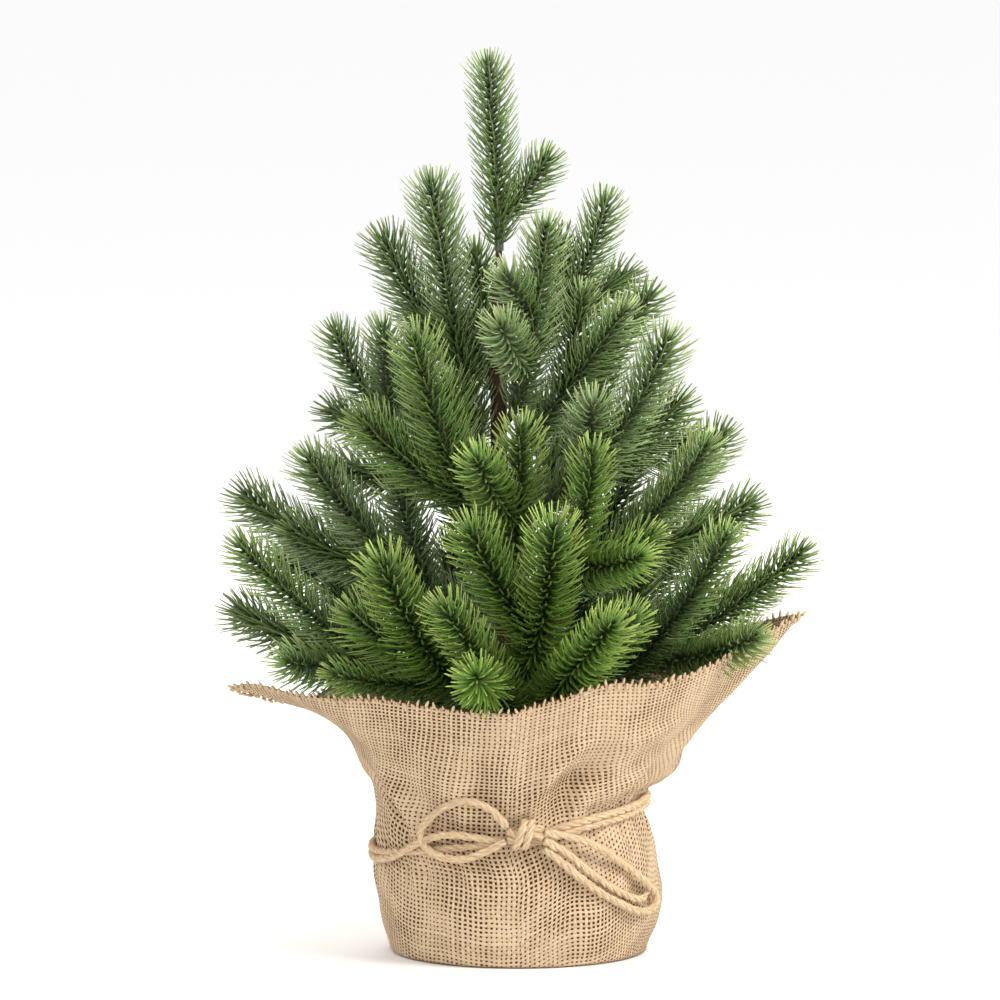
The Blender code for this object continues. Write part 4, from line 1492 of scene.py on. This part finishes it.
FOLDS = (
    Fold(208, 60, 96, 6, -5.5, -14),
    Fold(219, 60, 104, 8, 3.4, -12),
    Fold(232, 62, 108, 7, -3.2, -10),
    Fold(247, 66, 124, 9, 2.8, -8),
    Fold(260, 68, 112, 6, -3.0, -4),
    Fold(270, 70, 116, 6, 2.0, 0),
    Fold(2, 74, 102, 22, 5.5, 0),
    Fold(282, 68, 120, 4, 6.6, 12),
    Fold(295, 70, 116, 11, -13.5, 9),
    Fold(312, 98, 124, 13, 4.2, 14),
    Fold(322, 76, 108, 8, 4.4, 12),
    Fold(333, 84, 120, 7, -3.0, 6),
    Fold(344, 84, 116, 8, 3.2, 4),
    Fold(20, 78, 122, 9, -3.0, -4),
    Fold(38, 70, 120, 8, 2.6, -6),
    Fold(58, 66, 118, 7, -2.8, -5),
    Fold(80, 60, 116, 9, 2.6, 3),
    Fold(97, 60, 120, 7, -2.8, 5),
    Fold(118, 58, 116, 9, 2.8, 6),
    Fold(140, 56, 112, 8, -2.8, 6),
    Fold(160, 54, 112, 9, 2.4, 4),
    Fold(293, 6, 56, 5, -1.4, 6),
    Fold(304, 4, 50, 8, 1.3, 8),
    Fold(262, 12, 56, 7, -0.9, -4),
    Fold(243, 8, 50, 8, 1.0, -4),
    Fold(228, 6, 44, 6, -1.0, -6),
    Fold(325, 8, 60, 7, -1.2, 6),
    Fold(75, 6, 56, 7, -1.3, -5),
    Fold(110, 4, 50, 8, 1.2, 5),
    Fold(150, 6, 50, 7, -1.2, 4),
    Fold(30, 8, 60, 7, -1.2, 4),
)
RIM_WAVES = ((236, 4.0, 0.28), (292, 4.5, 0.16), (75, 3.0, 0.30), (152, -13.0, 0.34), (194, 2.5, 0.16))
WAIST_PLEATS = ((23, 1.2, 0.4), (37, 0.8, 1.9), (61, 0.4, 4.0))


@dataclass
class JuteSack:
    """The burlap sack: a flat-bottomed bag tied at its waist, flaring to two sewn corners."""

    bristles: BristleTree
    fibre: Object
    finishes: Finishes
    foot_radius: float = 62.5 * MM
    waist_radius: float = 65.5 * MM
    waist_shift: float = 4.0 * MM
    waist_height: float = 63.0 * MM
    waist_tilt: float = 0.19
    groove: float = 5.0 * MM
    half_width: float = 121.0 * MM
    ear: float = 20.0 * MM
    half_depth: float = 100.0 * MM
    mouth_height: float = 132.0 * MM
    flare_lift: float = 3.0 * MM
    left_puff: float = 32.0 * MM
    left_neck: float = 24.0 * MM
    right_sag: float = 5.0 * MM
    corner_reach: float = 0.9
    lift_power: float = 0.47
    skew: float = 0.22
    around: int = 320
    rows: int = 112

    def mouth(self, angle: Array) -> Array:
        """The raw rim's places at each angle round the sack."""
        c, s = np.cos(angle), np.sin(angle)
        x = np.sign(c) * (self.half_width * np.abs(c) + self.ear * np.abs(c) ** 22)
        y = self.half_depth * np.sign(s) * np.abs(s) ** 1.3
        right = np.clip(c, 0, 1)
        z = self.mouth_height + 14 * MM * np.sqrt(right) + 21 * MM * right ** 6
        for at, height, width in RIM_WAVES:
            z = z + height * MM * np.exp(-((angle - math.radians(at)) / width) ** 2)
        return np.stack([x, y, z], 1)

    def stations(self, angle: Array) -> Array:
        """The profile's own points at each angle, from the foot to the rim.

        Args:
            angle: Angles round the sack.

        Returns:
            Stations by angles by 3 places.
        """
        out = np.stack([np.cos(angle), np.sin(angle), np.zeros_like(angle)], 1)
        up = np.array([0.0, 0.0, 1.0])
        tied = self.waist_height + self.waist_tilt * self.waist_radius * np.cos(angle)
        reach = (tied - self.groove)[:, None]
        right = 0.5 + 0.5 * np.cos(angle)[:, None]
        foot = self.foot_radius + (right - 0.5) * 2 * MM
        made = [out * (foot + more * MM) + up * height * MM
                for more, height in ((-3.0, 0.3), (0.5, 0.8), (1.4, 3.2))]
        for on_left, on_right, share in ((64.6, 70.0, 0.24), (67.0, 71.5, 0.48), (69.4, 68.3, 0.76)):
            full = (on_left + (on_right - on_left) * right) * MM
            made.append(out * full + up * share * reach)
        waist = out * self.waist_radius + np.array([-self.waist_shift, 0.0, 0.0])
        base, rim = waist + up * (tied + self.groove)[:, None], self.mouth(angle)
        from_left = np.abs(angle - math.pi) / self.corner_reach
        from_right = np.minimum(angle, FULL_TURN - angle) / self.corner_reach
        size = self.flare_lift + self.left_puff * np.exp(-from_left ** 2)
        size = size - self.right_sag * np.exp(-from_right ** 2)
        neck = self.left_neck * np.exp(-(from_left * 1.3) ** 2)
        made.extend((waist + up * reach, base, base + up * (2.0 * MM + neck)[:, None]))
        for share in (0.09, 0.2, 0.36, 0.56, 0.78, 1.0):
            lift = size * math.sin(math.pi * share ** self.lift_power)
            made.append(base * (1 - share) + rim * share + up * lift[:, None])
        return np.array(made)

    def surface(self, angle: Array) -> Array:
        """The cloth's surface before folds, rows by angles by 3 places, rim last."""
        fine = curve_through(self.stations(angle))
        return np.stack([spread(fine[:, k], self.rows) for k in range(len(angle))], axis=1)

    def folded(self, surface: Array, angle: Array) -> Array:
        """The surface with its folds, gathers and slack.

        Args:
            surface: The smooth surface.
            angle: Angles round the sack.

        Returns:
            The folded surface.
        """
        height = surface[:, :, 2]
        out = surface * (1.0, 1.0, 0.0)
        reach = np.linalg.norm(out, axis=2)
        out /= reach[:, :, None]
        shift = np.zeros_like(height)
        turn = np.degrees(angle)[None, :]
        for fold in FOLDS:
            middle = 0.5 * (fold.low + fold.high) * MM
            rise = (height - middle) / (0.5 * (fold.high - fold.low) * MM)
            centre = fold.angle + fold.slant * rise
            away = np.radians((turn - centre + 180) % 360 - 180) * reach
            window = np.clip(1 - rise ** 2, 0, 1) ** 1.5
            shift += fold.depth * MM * np.exp(-(away / (fold.width * MM)) ** 2) * window
        near = (height - self.waist_height - self.waist_tilt * surface[:, :, 0]) / (16 * MM)
        pleat = sum(size * np.sin(wave * angle + start + 1.5 * np.sin(3 * angle))
                    for wave, size, start in WAIST_PLEATS)
        hold = np.exp(-near ** 2) * (1 - 0.8 * np.exp(-(near * 4) ** 2))
        shift += 1.1 * MM * pleat[None, :] * hold
        slack = np.array([[2.0 * noise(Vector((x * 26, y * 26, z * 30)))
                           + 0.6 * noise(Vector((x * 70, y * 70, z * 80 + 9)))
                           for x, y, z in row] for row in surface])
        calm = np.clip(height / (10 * MM), 0, 1)
        shift += MM * slack * calm * (1 - 0.85 * np.exp(-(near * 2.2) ** 2))
        tight = np.exp(-(near * 3.2) ** 2)
        shift = np.where((shift > 0), shift * (1 - tight), shift)
        made = surface + out * shift[:, :, None]
        made[:, :, 2] = np.maximum(made[:, :, 2], 0.3 * MM)
        return made

    def cloth_coordinates(self, surface: Array) -> tuple[Array, Array]:
        """Distances along and down the cloth, in metres, with the first column again at the end.

        Args:
            surface: The smooth surface.

        Returns:
            Distance round the cloth and distance down from the rim, rows by angles.
        """
        steps = np.linalg.norm(np.roll(surface, -1, axis=1) - surface, axis=2)
        run = np.cumsum(np.concatenate([np.zeros((self.rows, 1)), steps[:, :-1]], axis=1), axis=1)
        down = np.zeros(surface.shape[:2])
        rise = np.linalg.norm(np.diff(surface, axis=0), axis=2)
        down[:-1] = -np.cumsum(rise[::-1], axis=0)[::-1]
        run = run - self.skew * down
        return np.hstack([run, run[:, -1:] + steps[:, -1:]]), np.hstack([down, down[:, :1]])

    def build(self) -> None:
        count = self.around
        angle = np.arange(count) * FULL_TURN / count
        smooth = self.surface(angle)
        places = self.folded(smooth, angle)
        points = places.reshape(-1, 3)
        run, down = self.cloth_coordinates(smooth)
        panels = (count // 4, count // 2 + count // 4)
        corners = []
        for i in range(self.rows - 1):
            for k in range(count):
                middle = panels[k >= count // 2]
                corners.extend((run[row, column] - run[row, middle], down[row, column])
                               for row, column in ((i, k), (i, k + 1), (i + 1, k + 1), (i + 1, k)))
        faces = ring_faces(self.rows, count)[:-1]
        corners.extend((x, y - 0.3) for x, y, _ in points[count - 1::-1])
        mesh = mesh_from("sack", points, faces)
        set_coordinates(mesh, "cloth", corners)
        piece = link_mesh("burlap_sack", mesh, self.finishes.cloth)
        settle(piece, Slot.BURLAP, "sack")
        fray = self.build_fray(places)
        LOG.info("sack: %.4f square metres of cloth", sum(face.area for face in mesh.polygons))

    def build_fray(self, places: Array) -> Object:
        """The raw rim's loose thread ends, from the folded surface."""
        rim = places[-1]
        line = np.vstack([rim, rim[:1]]) - np.array([0.0, 0.0, 0.8 * MM])
        aims = rim - places[-4]
        aims /= np.linalg.norm(aims, axis=1)[:, None]
        guide = Guide.plain(line, np.vstack([aims, aims[:1]]))
        sizes = BristleSizes(spacing=2.3 * MM, ring=1, tilt_start=90.0, tilt_end=90.0,
                             tilt_jitter=20.0, roll_jitter=16.0, scale_start=1.0, scale_end=1.0,
                             scale_jitter=0.45, core=False, seed=44)
        piece = self.bristles.plant("rim_fray", [guide], self.fibre, sizes, self.finishes.twine)
        settle(piece, Slot.BURLAP)
        return piece


# --- Studio ---


@dataclass
class Studio:
    """Pale floor, soft lights and a long-lens camera in front of the tree."""

    aim: tuple = (-0.0084, 0.0, 0.2236)
    elevation: float = 7.0
    distance: float = 7.0
    view_width: float = 0.492
    floor_reach: float = 60.0

    def set_camera(self) -> None:
        """Put the camera in front, a little above level."""
        data = bpy.data.cameras.new("camera")
        data.sensor_width = 36.0
        data.lens = data.sensor_width * self.distance / self.view_width
        camera = bpy.data.objects.new("camera", data)
        bpy.context.scene.collection.objects.link(camera)
        lift = math.radians(self.elevation)
        back = Vector((0.0, -math.cos(lift), math.sin(lift)))
        camera.location = Vector(self.aim) + back * self.distance
        camera.rotation_euler = (-back).to_track_quat("-Z", "Y").to_euler()
        bpy.context.scene.camera = camera

    def add_light(self, name: str, place: tuple, size: float, power: float, tint: tuple) -> None:
        """A square soft light aimed at the tree.

        Args:
            name: Its name.
            place: Where it stands.
            size: Its side, in metres.
            power: In watts.
            tint: Its colour.
        """
        data = bpy.data.lights.new(name, "AREA")
        data.size = size
        data.energy = power
        data.color = tint
        light = bpy.data.objects.new(name, data)
        bpy.context.scene.collection.objects.link(light)
        light.location = place
        aim = Vector((0.0, 0.0, 0.2)) - Vector(place)
        light.rotation_euler = aim.to_track_quat("-Z", "Y").to_euler()

    def build(self) -> None:
        """Set up the world, the lights and the floor."""
        scene = bpy.context.scene
        scene.view_settings.view_transform = "Standard"
        world = bpy.data.worlds.new("studio")
        world.use_nodes = True
        sky, strength = world.node_tree.nodes["Background"].inputs[:2]
        sky.default_value, strength.default_value = (1.0, 1.0, 1.0, 1.0), 1.02
        scene.world = world
        self.add_light("key", (1.5, -0.9, 1.5), 1.0, 34.0, (1.0, 0.985, 0.96))
        self.add_light("fill", (-0.5, -1.6, 0.9), 1.4, 5.0, (0.97, 0.985, 1.0))
        self.add_light("back", (0.2, 1.3, 1.2), 1.2, 12.0, (1.0, 1.0, 1.0))
        reach = self.floor_reach
        corners = [(-reach, -reach, 0), (reach, -reach, 0), (reach, reach, 0), (-reach, reach, 0)]
        made, bench, shader = start_material("pale_floor")
        bench.feed(shader, Base_Color=(0.93, 0.93, 0.93, 1.0), Roughness=0.9)
        link_mesh("floor", mesh_from("floor", corners, [(0, 1, 2, 3)]), made)


def build_tree() -> None:
    """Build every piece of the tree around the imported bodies."""
    bristles = BristleTree()
    finishes = Finishes.make()
    needle = BristleModel("needle_model", 17.2 * MM, 1.22 * MM, 0.90 * MM, 7.4 * MM).build()
    fibre = BristleModel("fibre_model", 3.0 * MM, 0.15 * MM, 0.15 * MM, 1.2 * MM, 3, 3).build()
    thread = BristleModel("thread_model", 3.2 * MM, 1.45 * MM, 1.1 * MM, 0.6 * MM, 3, 5).build()

    twine = LaidTwine(bristles, fibre, finishes)
    twine.free_cord("bow_loop_left", "twine_loop_left", LEFT_LOOP_ROUTE, "object", 21)
    twine.free_cord("bow_loop_right", "twine_loop_right", RIGHT_LOOP_ROUTE, "object", 22)
    twine.free_cord("bow_tail", "twine_tail", TAIL_ROUTE, "bare", 23)
    WaistTie(twine).build()

    JuteSack(bristles, thread, finishes).build()
    Pot(finishes).build()
    Trunk(finishes).build()

    joints = {joint["name"]: joint for joint in frame["joints"]}
    builder = BranchBuilder(bristles, needle, finishes)
    for number, branch in enumerate((*BRANCHES, LEADER)):
        builder.build(branch, joints["bend_" + branch.name], 100 + number)
    for model in (needle, fibre, thread):
        bpy.data.objects.remove(model)


def write_sizes() -> None:
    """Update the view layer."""

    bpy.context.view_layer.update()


def main() -> None:
    """Set the studio up and build the tree."""
    logging.basicConfig(level=logging.INFO, format="%(name)s: %(message)s")
    studio = Studio()
    studio.set_camera()
    build_tree()
    studio.build()
    write_sizes()


if __name__ == "__main__":
    main()
